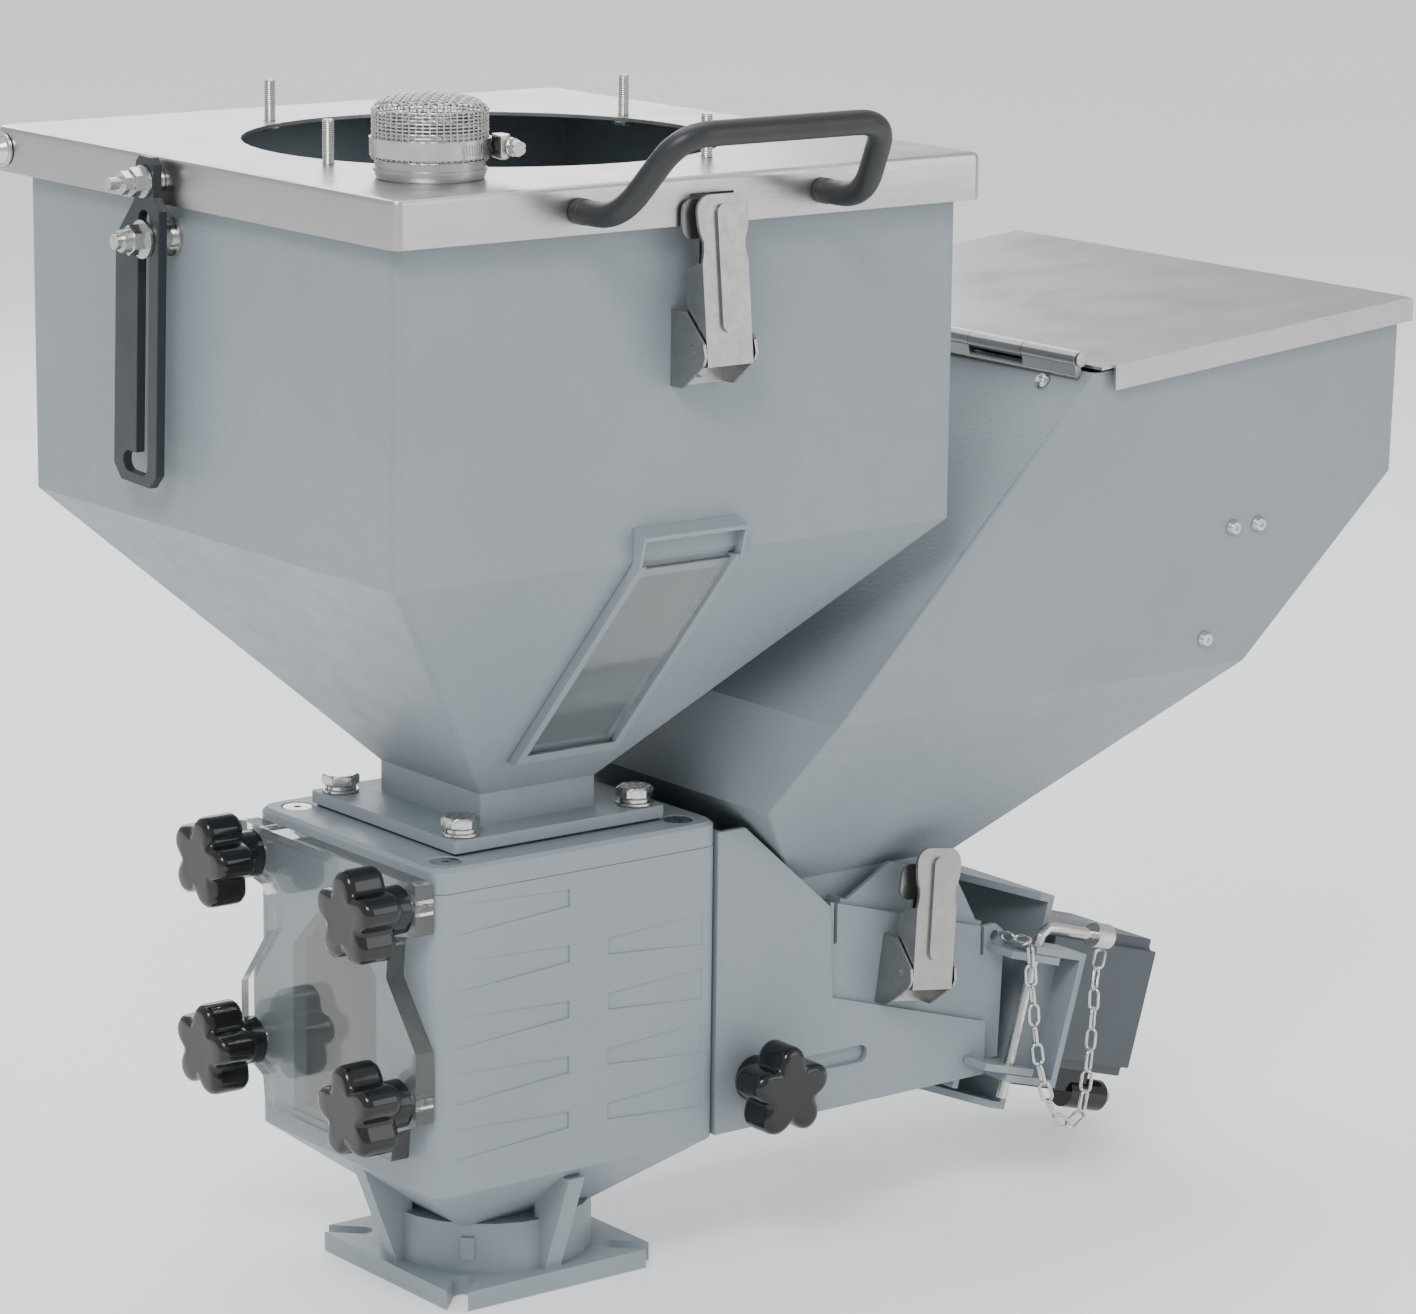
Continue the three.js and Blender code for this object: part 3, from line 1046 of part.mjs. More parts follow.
// ---------------------------------------------------------------- assembly
add('neck_housing', neckHousing(), 'castPaint');
add('neck_top_plate', neckTopPlate(), 'castPaint');
let screwNumber = 1;
for (const sx of [-1, 1]) {
  for (const sy of [-1, 1]) {
    add(`top_plate_screw_${screwNumber}`, countersunkScrew(sx * 72, sy * 67), 'zinc');
    add(`hopper_bolt_${screwNumber}`, hopperBolt(sx * BOLT_HALF_PITCH, sy * BOLT_HALF_PITCH), 'zinc');
    screwNumber += 1;
  }
}
add('hopper_gasket', hopperGasket(), 'rubber');
add('main_hopper', mainHopper(), 'hopperPaint');
add('sight_window', sightWindow(), 'clear');
add('window_frame', windowFrame(), 'hopperPaint');

add('main_lid', mainLid(), 'stainless');
studPlaces().forEach(([x, y], i) => add(`loader_stud_${i + 1}`, loaderStud(x, y), 'zinc'));
add('vent_pipe', ventPipe(), 'stainless');
add('vent_mesh_cap', ventMeshCap(), 'stainless');
add('hose_clamp', hoseClamp(), 'zinc');
add('lid_handle', lidHandle(), 'blackSteel');
add('lid_pivot_screw_left', lidPivotScrew(-1), 'zinc');
add('lid_pivot_screw_right', lidPivotScrew(1), 'zinc');
add('lid_stay', lidStay(), 'blackSteel');
add('stay_pivot_bolt', stayPivotBolt(), 'zinc');
add('stay_guide_bolt', stayGuideBolt(), 'zinc');

add('main_latch_base', onWall(latchBase(), -HOPPER_HALF_Y, LATCH_X, LATCH_Z, 0), 'zinc');
add('main_latch_lever', onWall(latchLever(LATCH_REACH), -HOPPER_HALF_Y, LATCH_X, LATCH_Z, 0), 'zinc');
add('main_latch_hook', onWall(latchHook(LATCH_HOOK_REACH), -HOPPER_HALF_Y, LATCH_X, LATCH_Z, 0), 'zinc');

add('front_cover', frontCover(), 'clear');
let knobNumber = 1;
for (const z of KNOB_Z) {
  for (const y of [-KNOB_Y, KNOB_Y]) {
    const x = -NECK_HALF_X - GAP - COVER_THICK - GAP;
    add(`cover_knob_${knobNumber}`, aimed(starKnob(16), [-1, 0, 0], [x, y, z]), 'blackPlastic');
    knobNumber += 1;
  }
}

add('dosing_console', dosingConsole(), 'hopperPaint');
add('dosing_carriage', dosingCarriage(), 'hopperPaint');
add('console_knob', aimed(starKnob(10), [0, -1, 0], [SLOT_START_X, -CHEEK_HALF_Y - GAP, SLOT_Z]), 'blackPlastic');
add('dosing_hopper', dosingHopper(), 'hopperPaint');
const screwPlaces = DOSE_SCREWS.map(([x, z]) => [[x, -DOSE_HALF_Y, z], [0, -1, 0]]);
SLOPE_SCREWS.forEach((place) => screwPlaces.push([place, [-1, 0, 1]]));
screwPlaces.forEach(([at, way], i) => add(`dosing_hopper_screw_${i + 1}`, aimed(panScrew(), way, at), 'zinc'));
add('dosing_hinge_leaf', dosingHingeLeaf(), 'stainless');
add('dosing_hinge_pin', dosingHingePin(), 'stainless');
add('dosing_lid', dosingLid(), 'stainless');

add('screw_tube', screwTube(), 'stainless', module);
add('dosing_screw', dosingScrew(), 'stainless', module);
add('drive_coupling', driveCoupling(), 'zinc', module);
add('motor_bracket', motorBracket(), 'hopperPaint', module);
add('drive_gearbox', driveGearbox(), 'motorGrey', module);
add('drive_motor', driveMotor(), 'motorGrey', module);
add('motor_connector', motorConnector(), 'blackPlastic', module);
add('lock_pin', lockPin(), 'zinc', module);
add('lock_chain', lockChain(), 'zinc');

for (const [name, piece] of [['base', latchBase()], ['lever', latchLever(DOSE_LATCH_REACH)],
  ['hook', latchHook(DOSE_LATCH_HOOK_REACH)]]) {
  add(`dosing_latch_${name}`, onWall(piece, -CARRIAGE_Y, DOSE_LATCH_X, DOSE_LATCH_Z, DOSE_LATCH_TILT), 'zinc');
}

export default unit;
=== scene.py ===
"""Looks for the dosing and mixing unit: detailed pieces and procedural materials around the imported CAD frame.

Shapes are written in millimetres in the row frame and scaled to metres when a mesh is made.
"""
import json
import math

import bmesh
import bpy
from mathutils import Matrix, Vector


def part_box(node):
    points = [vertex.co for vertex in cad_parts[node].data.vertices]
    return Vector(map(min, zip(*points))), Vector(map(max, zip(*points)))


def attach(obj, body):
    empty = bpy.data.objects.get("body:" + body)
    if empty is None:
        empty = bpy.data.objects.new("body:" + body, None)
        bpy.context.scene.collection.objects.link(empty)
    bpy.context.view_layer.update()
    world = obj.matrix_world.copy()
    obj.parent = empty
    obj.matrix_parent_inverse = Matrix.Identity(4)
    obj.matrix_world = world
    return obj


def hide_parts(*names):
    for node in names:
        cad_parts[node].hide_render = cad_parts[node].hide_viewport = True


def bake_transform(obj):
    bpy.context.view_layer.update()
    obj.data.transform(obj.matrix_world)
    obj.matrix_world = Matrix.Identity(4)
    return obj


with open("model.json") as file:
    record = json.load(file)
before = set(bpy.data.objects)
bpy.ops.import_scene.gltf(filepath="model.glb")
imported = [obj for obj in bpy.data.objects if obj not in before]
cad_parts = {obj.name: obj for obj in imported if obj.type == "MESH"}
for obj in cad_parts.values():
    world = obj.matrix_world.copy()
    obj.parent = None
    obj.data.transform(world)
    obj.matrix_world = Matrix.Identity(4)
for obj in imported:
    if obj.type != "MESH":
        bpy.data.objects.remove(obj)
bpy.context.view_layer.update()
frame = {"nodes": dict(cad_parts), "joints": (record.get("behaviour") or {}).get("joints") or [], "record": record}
nodes = frame["nodes"]
scene = bpy.context.scene
MM = 0.001
UP = Vector((0, 0, 1))


# ---------------------------------------------------------------- camera
CAMERA_YAW, CAMERA_PITCH, CAMERA_ROLL = 37.69, 12.55, -0.66
CAMERA_AT = (-1412.7, -2012.3, 868.7)
LENS = 125.66
SENSOR_WIDTH = 36


def place_camera():
    yaw, pitch, roll = (math.radians(a) for a in (CAMERA_YAW, CAMERA_PITCH, CAMERA_ROLL))
    forward = Vector((math.sin(yaw) * math.cos(pitch), math.cos(yaw) * math.cos(pitch), -math.sin(pitch)))
    right = Vector((math.cos(yaw), -math.sin(yaw), 0))
    down = forward.cross(right)
    x_axis = right * math.cos(roll) + down * math.sin(roll)
    y_axis = right * math.sin(roll) - down * math.cos(roll)
    matrix = Matrix((x_axis, y_axis, -forward)).transposed().to_4x4()
    matrix.translation = Vector(CAMERA_AT) * MM
    data = bpy.data.cameras.new("camera")
    data.sensor_width = SENSOR_WIDTH
    data.lens = LENS
    data.clip_start = 0.05
    data.clip_end = 60
    camera = bpy.data.objects.new("camera", data)
    camera.matrix_world = matrix
    scene.collection.objects.link(camera)
    scene.camera = camera


# ---------------------------------------------------------------- materials
def graph(name, metallic, roughness):
    mat = bpy.data.materials.new(name)
    mat.use_nodes = True
    tree = mat.node_tree
    shader = tree.nodes["Principled BSDF"]
    shader.inputs["Metallic"].default_value = metallic
    shader.inputs["Roughness"].default_value = roughness
    return mat, tree, shader


def noise(tree, scale, detail=3.0, stretch=(1, 1, 1), roughness=0.5):
    """Noise with about `scale` cells a metre, stretched along an axis where its factor is small."""
    coords = tree.nodes.new("ShaderNodeTexCoord")
    mapping = tree.nodes.new("ShaderNodeMapping")
    mapping.inputs["Scale"].default_value = stretch
    texture = tree.nodes.new("ShaderNodeTexNoise")
    texture.inputs["Scale"].default_value = scale
    texture.inputs["Detail"].default_value = detail
    texture.inputs["Roughness"].default_value = roughness
    tree.links.new(coords.outputs["Object"], mapping.inputs["Vector"])
    tree.links.new(mapping.outputs["Vector"], texture.inputs["Vector"])
    return texture.outputs["Fac"]


def ramp(tree, value, low, high, start=0.3, end=0.7):
    """Maps a value between start and end onto two colours, or onto two greys given as numbers."""
    node = tree.nodes.new("ShaderNodeValToRGB")
    for element, place, shade in zip(node.color_ramp.elements, (start, end), (low, high)):
        element.position = place
        element.color = (*shade, 1) if isinstance(shade, tuple) else (shade, shade, shade, 1)
    tree.links.new(value, node.inputs["Fac"])
    return node.outputs["Color"]


def bump(tree, shader, height, distance, strength=1.0, under=None):
    node = tree.nodes.new("ShaderNodeBump")
    node.inputs["Distance"].default_value = distance
    node.inputs["Strength"].default_value = strength
    tree.links.new(height, node.inputs["Height"])
    if under:
        tree.links.new(under, node.inputs["Normal"])
    tree.links.new(node.outputs["Normal"], shader.inputs["Normal"])
    return node.outputs["Normal"]


def tinted(colour, factor):
    return tuple(c * factor for c in colour)


def paint(name, colour, roughness, peel_scale, peel_depth, strength=0.6):
    """Powder coat: a leathery orange peel, faint clouding and a little variation in gloss.

    Like every scale here, the peel's is in cells a metre, and its depth is in metres.
    """
    mat, tree, shader = graph(name, 0.0, roughness)
    clouds = ramp(tree, noise(tree, 9, 4), tinted(colour, 0.95), tinted(colour, 1.04))
    tree.links.new(clouds, shader.inputs["Base Color"])
    gloss = ramp(tree, noise(tree, 55, 3), roughness - 0.05, roughness + 0.07)
    tree.links.new(gloss, shader.inputs["Roughness"])
    coarse = bump(tree, shader, noise(tree, peel_scale, 2), peel_depth, strength)
    bump(tree, shader, noise(tree, peel_scale * 3.1, 2), peel_depth * 0.25, strength * 0.6, coarse)
    shader.inputs["Specular IOR Level"].default_value = 0.45
    return mat


def brushed(name, colour, roughness, stretch, depth=0.000006):
    """Ground or drawn metal whose fine scratches run along the axis with the small stretch factor."""
    mat, tree, shader = graph(name, 1.0, roughness)
    grain = noise(tree, 900, 4, stretch, 0.65)
    shade = ramp(tree, grain, tinted(colour, 0.93), tinted(colour, 1.05))
    tree.links.new(shade, shader.inputs["Base Color"])
    blotch = ramp(tree, noise(tree, 26, 5), roughness - 0.06, roughness + 0.08)
    tree.links.new(blotch, shader.inputs["Roughness"])
    bump(tree, shader, grain, depth, 0.5)
    return mat


def plated(name, colour, roughness, depth=0.000004):
    """Zinc plate: cloudy patches, uneven gloss and fine pits."""
    mat, tree, shader = graph(name, 1.0, roughness)
    patches = ramp(tree, noise(tree, 120, 4, roughness=0.55), tinted(colour, 0.9), tinted(colour, 1.05))
    tree.links.new(patches, shader.inputs["Base Color"])
    gloss = ramp(tree, noise(tree, 300, 3), roughness - 0.05, roughness + 0.07)
    tree.links.new(gloss, shader.inputs["Roughness"])
    bump(tree, shader, noise(tree, 700, 2), depth, 0.5)
    return mat


def moulded(name, colour, roughness, depth=0.00002):
    """Moulded plastic or rubber: a faint surface ripple and uneven gloss."""
    mat, tree, shader = graph(name, 0.0, roughness)
    tone = ramp(tree, noise(tree, 40, 4), tinted(colour, 0.8), tinted(colour, 1.3))
    tree.links.new(tone, shader.inputs["Base Color"])
    gloss = ramp(tree, noise(tree, 130, 4), roughness * 0.75, roughness * 1.35)
    tree.links.new(gloss, shader.inputs["Roughness"])
    bump(tree, shader, noise(tree, 300, 3), depth, 0.5)
    return mat


def acrylic(name):
    """Clear sheet with faint wiping scratches in its gloss."""
    mat, tree, shader = graph(name, 0.0, 0.03)
    shader.inputs["Transmission Weight"].default_value = 0.96
    shader.inputs["IOR"].default_value = 1.49
    scratches = noise(tree, 70, 6, (1, 1, 0.3))
    tree.links.new(ramp(tree, scratches, 0.015, 0.07), shader.inputs["Roughness"])
    tree.links.new(ramp(tree, noise(tree, 12, 3), (0.86, 0.9, 0.91), (0.93, 0.95, 0.95)),
                   shader.inputs["Base Color"])
    return mat


BLUE_GREY = (0.235, 0.272, 0.3)
STEEL = (0.5, 0.5, 0.49)
LOOK = {
    "hopper_paint": paint("hopper_paint", BLUE_GREY, 0.42, 420, 0.00045),
    "cast_paint": paint("cast_paint", tinted(BLUE_GREY, 1.03), 0.4, 300, 0.00025, 0.45),
    "satin_stainless": brushed("satin_stainless", STEEL, 0.32, (0.02, 1, 1)),
    "zinc_plate": plated("zinc_plate", (0.6, 0.6, 0.58), 0.25),
    "latch_zinc": plated("latch_zinc", (0.36, 0.36, 0.35), 0.33),
    "black_steel": paint("black_steel", (0.017, 0.019, 0.021), 0.42, 700, 0.0001),
    "slate_steel": paint("slate_steel", (0.02, 0.024, 0.028), 0.36, 500, 0.00006),
    "black_plastic": moulded("black_plastic", (0.006, 0.007, 0.008), 0.14),
    "motor_paint": paint("motor_paint", (0.06, 0.072, 0.083), 0.42, 500, 0.00015),
    "clear_acrylic": acrylic("clear_acrylic"),
    "gasket_rubber": moulded("gasket_rubber", (0.03, 0.03, 0.032), 0.7, 0.00008),
}


# ---------------------------------------------------------------- mesh helpers
def mesh_object(name, verts, faces):
    mesh = bpy.data.meshes.new(name)
    mesh.from_pydata([Vector(v) * MM for v in verts], [], faces)
    mesh.validate()
    obj = bpy.data.objects.new(name, mesh)
    scene.collection.objects.link(obj)
    work = bmesh.new()
    work.from_mesh(mesh)
    bmesh.ops.recalc_face_normals(work, faces=work.faces)
    work.to_mesh(mesh)
    work.free()
    return obj


def loft(name, rings):
    """Skins equal rings of points in their order, and caps the first and the last."""
    count = len(rings[0])
    verts = [p for ring in rings for p in ring]
    faces = []
    for level in range(len(rings) - 1):
        for i in range(count):
            a = level * count + i
            b = level * count + (i + 1) % count
            faces.append((a, b, b + count, a + count))
    faces.append(tuple(range(count))[::-1])
    faces.append(tuple(range((len(rings) - 1) * count, len(rings) * count)))
    return mesh_object(name, verts, faces)


def closed_loft(name, rings):
    """A loft that runs on from its last ring to its first: a tube closed on itself."""
    count = len(rings[0])
    levels = len(rings)
    verts = [p for ring in rings for p in ring]
    faces = []
    for level in range(levels):
        for i in range(count):
            a = level * count + i
            b = level * count + (i + 1) % count
            c = ((level + 1) % levels) * count
            faces.append((a, b, c + (i + 1) % count, c + i))
    return mesh_object(name, verts, faces)


def frame_for(axis):
    """Two unit vectors square to an axis and to each other."""
    axis = Vector(axis).normalized()
    side = Vector((1, 0, 0)) if abs(axis.z) > 0.9 else UP.cross(axis).normalized()
    side = (side - axis * side.dot(axis)).normalized()
    return side, axis.cross(side)


def ring_about(centre, side, other, segments, radius_at, turn=0.0):
    """Points around a centre, in the plane of two unit vectors, at a radius worked out from their angle."""
    ring = []
    for i in range(segments):
        angle = 2 * math.pi * i / segments
        a = angle + turn
        ring.append(centre + (side * math.cos(a) + other * math.sin(a)) * radius_at(angle))
    return ring


def lathe(name, profile, origin, axis, segments=48, closed=False):
    """Turns (radius, distance along the axis) pairs about an axis. A closed profile makes a ring."""
    side, other = frame_for(axis)
    axis = Vector(axis).normalized()
    origin = Vector(origin)
    rings = []
    for radius, along in profile:
        rings.append(ring_about(origin + axis * along, side, other, segments, lambda angle: radius))
    return closed_loft(name, rings) if closed else loft(name, rings)


def prism(name, outline, low, high):
    """An outline in X and Y, extruded from one height to another."""
    return loft(name, [[(x, y, low) for x, y in outline], [(x, y, high) for x, y in outline]])


def block(name, low, high):
    outline = [(low[0], low[1]), (high[0], low[1]), (high[0], high[1]), (low[0], high[1])]
    return prism(name, outline, low[2], high[2])


def rod(name, start, end, radius, segments=40, chamfer=0.0):
    axis = Vector(end) - Vector(start)
    length = axis.length
    profile = [(radius, chamfer), (radius, length - chamfer)]
    if chamfer > 0:
        profile = [(radius - chamfer, 0), *profile, (radius - chamfer, length)]
    return lathe(name, profile, start, axis, segments)


def hexagon(name, start, end, across, chamfer):
    """A hexagon head or nut with its corners turned down at both ends."""
    side, other = frame_for(Vector(end) - Vector(start))
    axis = Vector(end) - Vector(start)
    length = axis.length
    axis.normalize()
    corner, turned_down = across / math.sqrt(3), across * 0.485
    segments = 36
    rings = []
    levels = [(0, turned_down), (chamfer, corner), (length - chamfer, corner), (length, turned_down)]
    for along, cap in levels:
        def radius_at(angle):
            local = (angle + math.pi / 6) % (math.pi / 3) - math.pi / 6
            return min(across / 2 / math.cos(local), cap)
        rings.append(ring_about(Vector(start) + axis * along, side, other, segments, radius_at))
    return loft(name, rings)


def evaluated_mesh(obj):
    depsgraph = bpy.context.evaluated_depsgraph_get()
    return bpy.data.meshes.new_from_object(obj.evaluated_get(depsgraph))


def carve(obj, cutter):
    """Cuts a shape out of another, then throws the cutter away."""
    mod = obj.modifiers.new("cut", "BOOLEAN")
    mod.operation = "DIFFERENCE"
    mod.solver = "EXACT"
    mod.object = cutter
    mesh = evaluated_mesh(obj)
    obj.modifiers.clear()
    obj.data = mesh
    bpy.data.objects.remove(cutter)


def merge(name, objects):
    """One object from several, each with its modifiers applied."""
    work = bmesh.new()
    for obj in objects:
        mesh = evaluated_mesh(obj)
        mesh.transform(obj.matrix_world)
        work.from_mesh(mesh)
        bpy.data.objects.remove(obj)
    mesh = bpy.data.meshes.new(name)
    work.to_mesh(mesh)
    work.free()
    merged = bpy.data.objects.new(name, mesh)
    scene.collection.objects.link(merged)
    return merged


WELD = 2e-6
FLAT_ANGLE = math.radians(0.6)
LARGE_FACE_WEIGHT = 70


def from_cad(node, name):
    """A copy of a CAD node's mesh with its flat triangles joined into whole faces."""
    mesh = nodes[node].data.copy()
    mesh.materials.clear()
    work = bmesh.new()
    work.from_mesh(mesh)
    bmesh.ops.remove_doubles(work, verts=work.verts, dist=WELD)
    bmesh.ops.dissolve_limit(work, angle_limit=FLAT_ANGLE, verts=work.verts, edges=work.edges)
    bmesh.ops.recalc_face_normals(work, faces=work.faces)
    work.to_mesh(mesh)
    work.free()
    obj = bpy.data.objects.new(name, mesh)
    scene.collection.objects.link(obj)
    return obj


def soften(obj, width, segments=2, angle=30):
    """Rounds the edges sharper than an angle by a width, or with no width leaves them sharp.

    Everything else is shaded smoothly, with the large faces setting the normals.
    """
    obj.data.shade_smooth()
    if width > 0:
        mod = obj.modifiers.new("edges", "BEVEL")
        mod.width = width * MM
        mod.segments = segments
        mod.limit_method = "ANGLE"
        mod.angle_limit = math.radians(angle)
        mod.harden_normals = True
        mod.use_clamp_overlap = True
    else:
        work = bmesh.new()
        work.from_mesh(obj.data)
        for edge in work.edges:
            edge.smooth = edge.calc_face_angle(0) < math.radians(angle)
        work.to_mesh(obj.data)
        work.free()
    normals = obj.modifiers.new("normals", "WEIGHTED_NORMAL")
    normals.keep_sharp = True
    normals.weight = LARGE_FACE_WEIGHT
    return obj


def show(obj, look, body, *replaced, slot=None):
    """Gives a piece its material and its body, and hides the CAD nodes it stands for."""
    obj.data.materials.clear()
    obj.data.materials.append(LOOK[look])
    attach(obj, body)
    if replaced:
        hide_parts(*replaced)


# ---------------------------------------------------------------- the tilted module frame
MODULE_TILT = math.radians(16)
MODULE_ORIGIN = Vector((88, 0, 166))
MODULE = Matrix.Translation(MODULE_ORIGIN) @ Matrix.Rotation(MODULE_TILT, 4, "Y")


def module_point(s, y, n):
    """A point given along the dosing module's axis, across it, and square to both."""
    return MODULE @ Vector((s, y, n))


# ---------------------------------------------------------------- CAD shapes kept, with softened edges
SLOT_OF = {part["node"]: part["material_slot"] for part in frame["record"]["subparts"]}
BODY_OF = {node: body for body, members in frame["record"]["behaviour"]["bodies"].items() for node in members}
done = set()


def dress(node, width, segments, look):
    """Shows a CAD node's own shape with rounded edges."""
    piece = soften(from_cad(node, node + "_shape"), width, segments)
    show(piece, look or SLOT_OF[node], BODY_OF[node], node, slot=SLOT_OF[node])
    done.add(node)


def stand_for(piece, look, *replaced):
    """Shows a detailed piece in the place of CAD nodes, on the first one's body."""
    node = replaced[0]
    show(piece, look, BODY_OF[node], *replaced, slot=SLOT_OF[node])
    done.update(replaced)


# ---------------------------------------------------------------- star knobs
HUB_RINGS = [(0, 11.6), (0.6, 12.3), (7, 12.2), (7.8, 11.6), (12.2, 11.4)]
STAR_RINGS = [(12.6, 4.5), (13.4, 1.6), (15.4, 0.2), (17, 0), (30, 0.1), (32.4, 0.7), (34, 2.2), (34.8, 4.6)]
CROWN_RINGS = [(34.9, 9), (34.5, 12.5)]
LOBES = 5
LOBE_MEAN = 21.3
LOBE_SWING = 3.7
LOBE_FLATTEN = 0.5
CROWN_SWING = 0.3


def star_knob(node, origin, axis, turn):
    """Five broad lobes on a stepped hub, as one turned and scalloped body.

    The hub's rings are (distance out, radius). The star's and the crown's are (distance out, inset).
    """
    side, other = frame_for(axis)
    axis = Vector(axis)
    origin = Vector(origin)
    segments = 150

    def lobe(angle):
        return LOBE_MEAN + LOBE_SWING * math.cos(LOBES * angle) - LOBE_FLATTEN * math.cos(2 * LOBES * angle)

    def ring(along, radius_at):
        return ring_about(origin + axis * along, side, other, segments, radius_at, turn)

    rings = [ring(along, lambda angle: radius) for along, radius in HUB_RINGS]
    rings += [ring(along, lambda angle: lobe(angle) - inset) for along, inset in STAR_RINGS]
    rings += [ring(along, lambda angle: (LOBE_MEAN - inset) + (lobe(angle) - LOBE_MEAN) * CROWN_SWING)
              for along, inset in CROWN_RINGS]
    knob = loft(node + "_star", rings)
    stud = rod(node + "_stud", origin - axis * 9.5, origin + axis * 1, 4, 24, 0.4)
    knob = merge(node + "_shape", [knob, stud])
    soften(knob, 0, angle=42)
    stand_for(knob, "black_plastic", node)


COVER_FACE_X = -99.1
CHEEK_FACE_Y = -80.3
KNOB_TURNS = {"cover_knob_1": 0.35, "cover_knob_2": 0.1, "cover_knob_3": 0.5, "cover_knob_4": 0.2}
CONSOLE_KNOB_TURN = 0.3


def joint_position(child):
    return next(j["pos_m"] for j in frame["joints"] if j["child"] == child)


def knobs():
    for node, turn in KNOB_TURNS.items():
        pos = joint_position(node)
        star_knob(node, (COVER_FACE_X, pos[1] / MM, pos[2] / MM), (-1, 0, 0), turn)
    pos = joint_position("console_knob")
    star_knob("console_knob", (pos[0] / MM, CHEEK_FACE_Y, pos[2] / MM), (0, -1, 0), CONSOLE_KNOB_TURN)


# ---------------------------------------------------------------- threads, bolts and nuts
THREAD_RINGS_A_TURN = 4
THREAD_END = 0.8
THREAD_END_SCALE = 0.86


def threaded(name, start, end, radius, pitch=1.0, depth=0.45, segments=20):
    """A threaded bar: its radius follows the thread as it turns and climbs, and its end is turned down."""
    axis = Vector(end) - Vector(start)
    length = axis.length
    axis.normalize()
    side, other = frame_for(axis)
    count = max(2, int(length / pitch * THREAD_RINGS_A_TURN))
    rings = []
    for k in range(count + 1):
        along = length * k / count
        fade = min(1.0, (length - along) / THREAD_END)

        def radius_at(angle):
            phase = (along / pitch - angle / (2 * math.pi)) % 1.0
            dip = depth * abs(2 * phase - 1)
            return (radius - dip) * (THREAD_END_SCALE + (1 - THREAD_END_SCALE) * fade)
        rings.append(ring_about(Vector(start) + axis * along, side, other, segments, radius_at))
    return loft(name, rings)


def washer(name, start, axis, inner, outer, thick, segments=56):
    c = 0.25
    profile = [(inner, 0), (outer - c, 0), (outer, c), (outer, thick - c), (outer - c, thick), (inner, thick)]
    return lathe(name, profile, start, axis, segments, closed=True)


def upright_box(node):
    """An upright node's middle in X and Y, and its bottom and top."""
    low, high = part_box(node)
    return (low.x + high.x) / 2 / MM, (low.y + high.y) / 2 / MM, low.z / MM, high.z / MM


BOLT_RADIUS = 5
HEAD_ACROSS = 17
HEAD_HEIGHT = 5.8
SPRING_WASHER_FOOT = 7.8
SPRING_WASHER_THICK = 2.0
SPRING_WASHER_RADIUS = 8.2
FLAT_WASHER_FOOT = 9.3
FLAT_WASHER_THICK = 1.5
FLAT_WASHER_RADIUS = 9.6
SHANK_FOOT = 27.5


def hopper_bolts():
    """M10 hexagon bolts with a split spring washer on a flat one. Feet are measured down from the top."""
    for number in range(1, 5):
        node = f"hopper_bolt_{number}"
        x, y, _, top = upright_box(node)
        flat_washer = washer("flat", (x, y, top - FLAT_WASHER_FOOT), UP, BOLT_RADIUS, FLAT_WASHER_RADIUS,
                             FLAT_WASHER_THICK)
        spring_washer = washer("spring", (x, y, top - SPRING_WASHER_FOOT), UP, BOLT_RADIUS,
                               SPRING_WASHER_RADIUS, SPRING_WASHER_THICK)
        shank = rod("shank", (x, y, top - SHANK_FOOT), (x, y, top - 4), BOLT_RADIUS, 28)
        head = hexagon("head", (x, y, top - HEAD_HEIGHT), (x, y, top), HEAD_ACROSS, 1.0)
        split = block("split", (x - 9, y - 0.5, top - SPRING_WASHER_FOOT + 0.05),
                      (x - 5.2, y + 0.5, top - HEAD_HEIGHT - 0.05))
        carve(spring_washer, split)
        bolt = soften(merge(node + "_shape", [flat_washer, spring_washer, shank, head]), 0, angle=32)
        stand_for(bolt, "zinc_plate", node)


STUD_RADIUS = 3
STUD_FOOT_RADIUS = 6
STUD_FOOT_HEIGHT = 2.7


def loader_studs():
    for number in range(1, 5):
        node = f"loader_stud_{number}"
        x, y, bottom, top = upright_box(node)
        bar = threaded("bar", (x, y, bottom + 2), (x, y, top), STUD_RADIUS)
        foot = rod("foot", (x, y, bottom), (x, y, bottom + STUD_FOOT_HEIGHT), STUD_FOOT_RADIUS, 32, 0.4)
        stud = soften(merge(node + "_shape", [bar, foot]), 0, angle=60)
        stand_for(stud, "zinc_plate", node)


# ---------------------------------------------------------------- lid handle and vent
def filleted(points, radius, steps=10):
    """Points along straight runs with rounded corners."""
    path = [Vector(points[0])]
    for before, corner, after in zip(points, points[1:], points[2:]):
        corner = Vector(corner)
        start = corner + (Vector(before) - corner).normalized() * radius
        end = corner + (Vector(after) - corner).normalized() * radius
        for i in range(steps + 1):
            t = i / steps
            path.append(start * (1 - t) ** 2 + corner * 2 * t * (1 - t) + end * t * t)
    path.append(Vector(points[-1]))
    return path


def sweep(name, path, radius, segments=28, closed=False):
    """A round bar along points, its section carried along without twisting."""
    count = len(path)
    tangents = []
    for i in range(count):
        ahead = path[(i + 1) % count] if closed or i < count - 1 else path[i]
        behind = path[i - 1] if closed or i > 0 else path[i]
        tangents.append((ahead - behind).normalized())
    side = frame_for(tangents[0])[0]
    rings = []
    for point, tangent in zip(path, tangents):
        side = (side - tangent * side.dot(tangent)).normalized()
        rings.append(ring_about(point, side, tangent.cross(side), segments, lambda angle: radius))
    return closed_loft(name, rings) if closed else loft(name, rings)


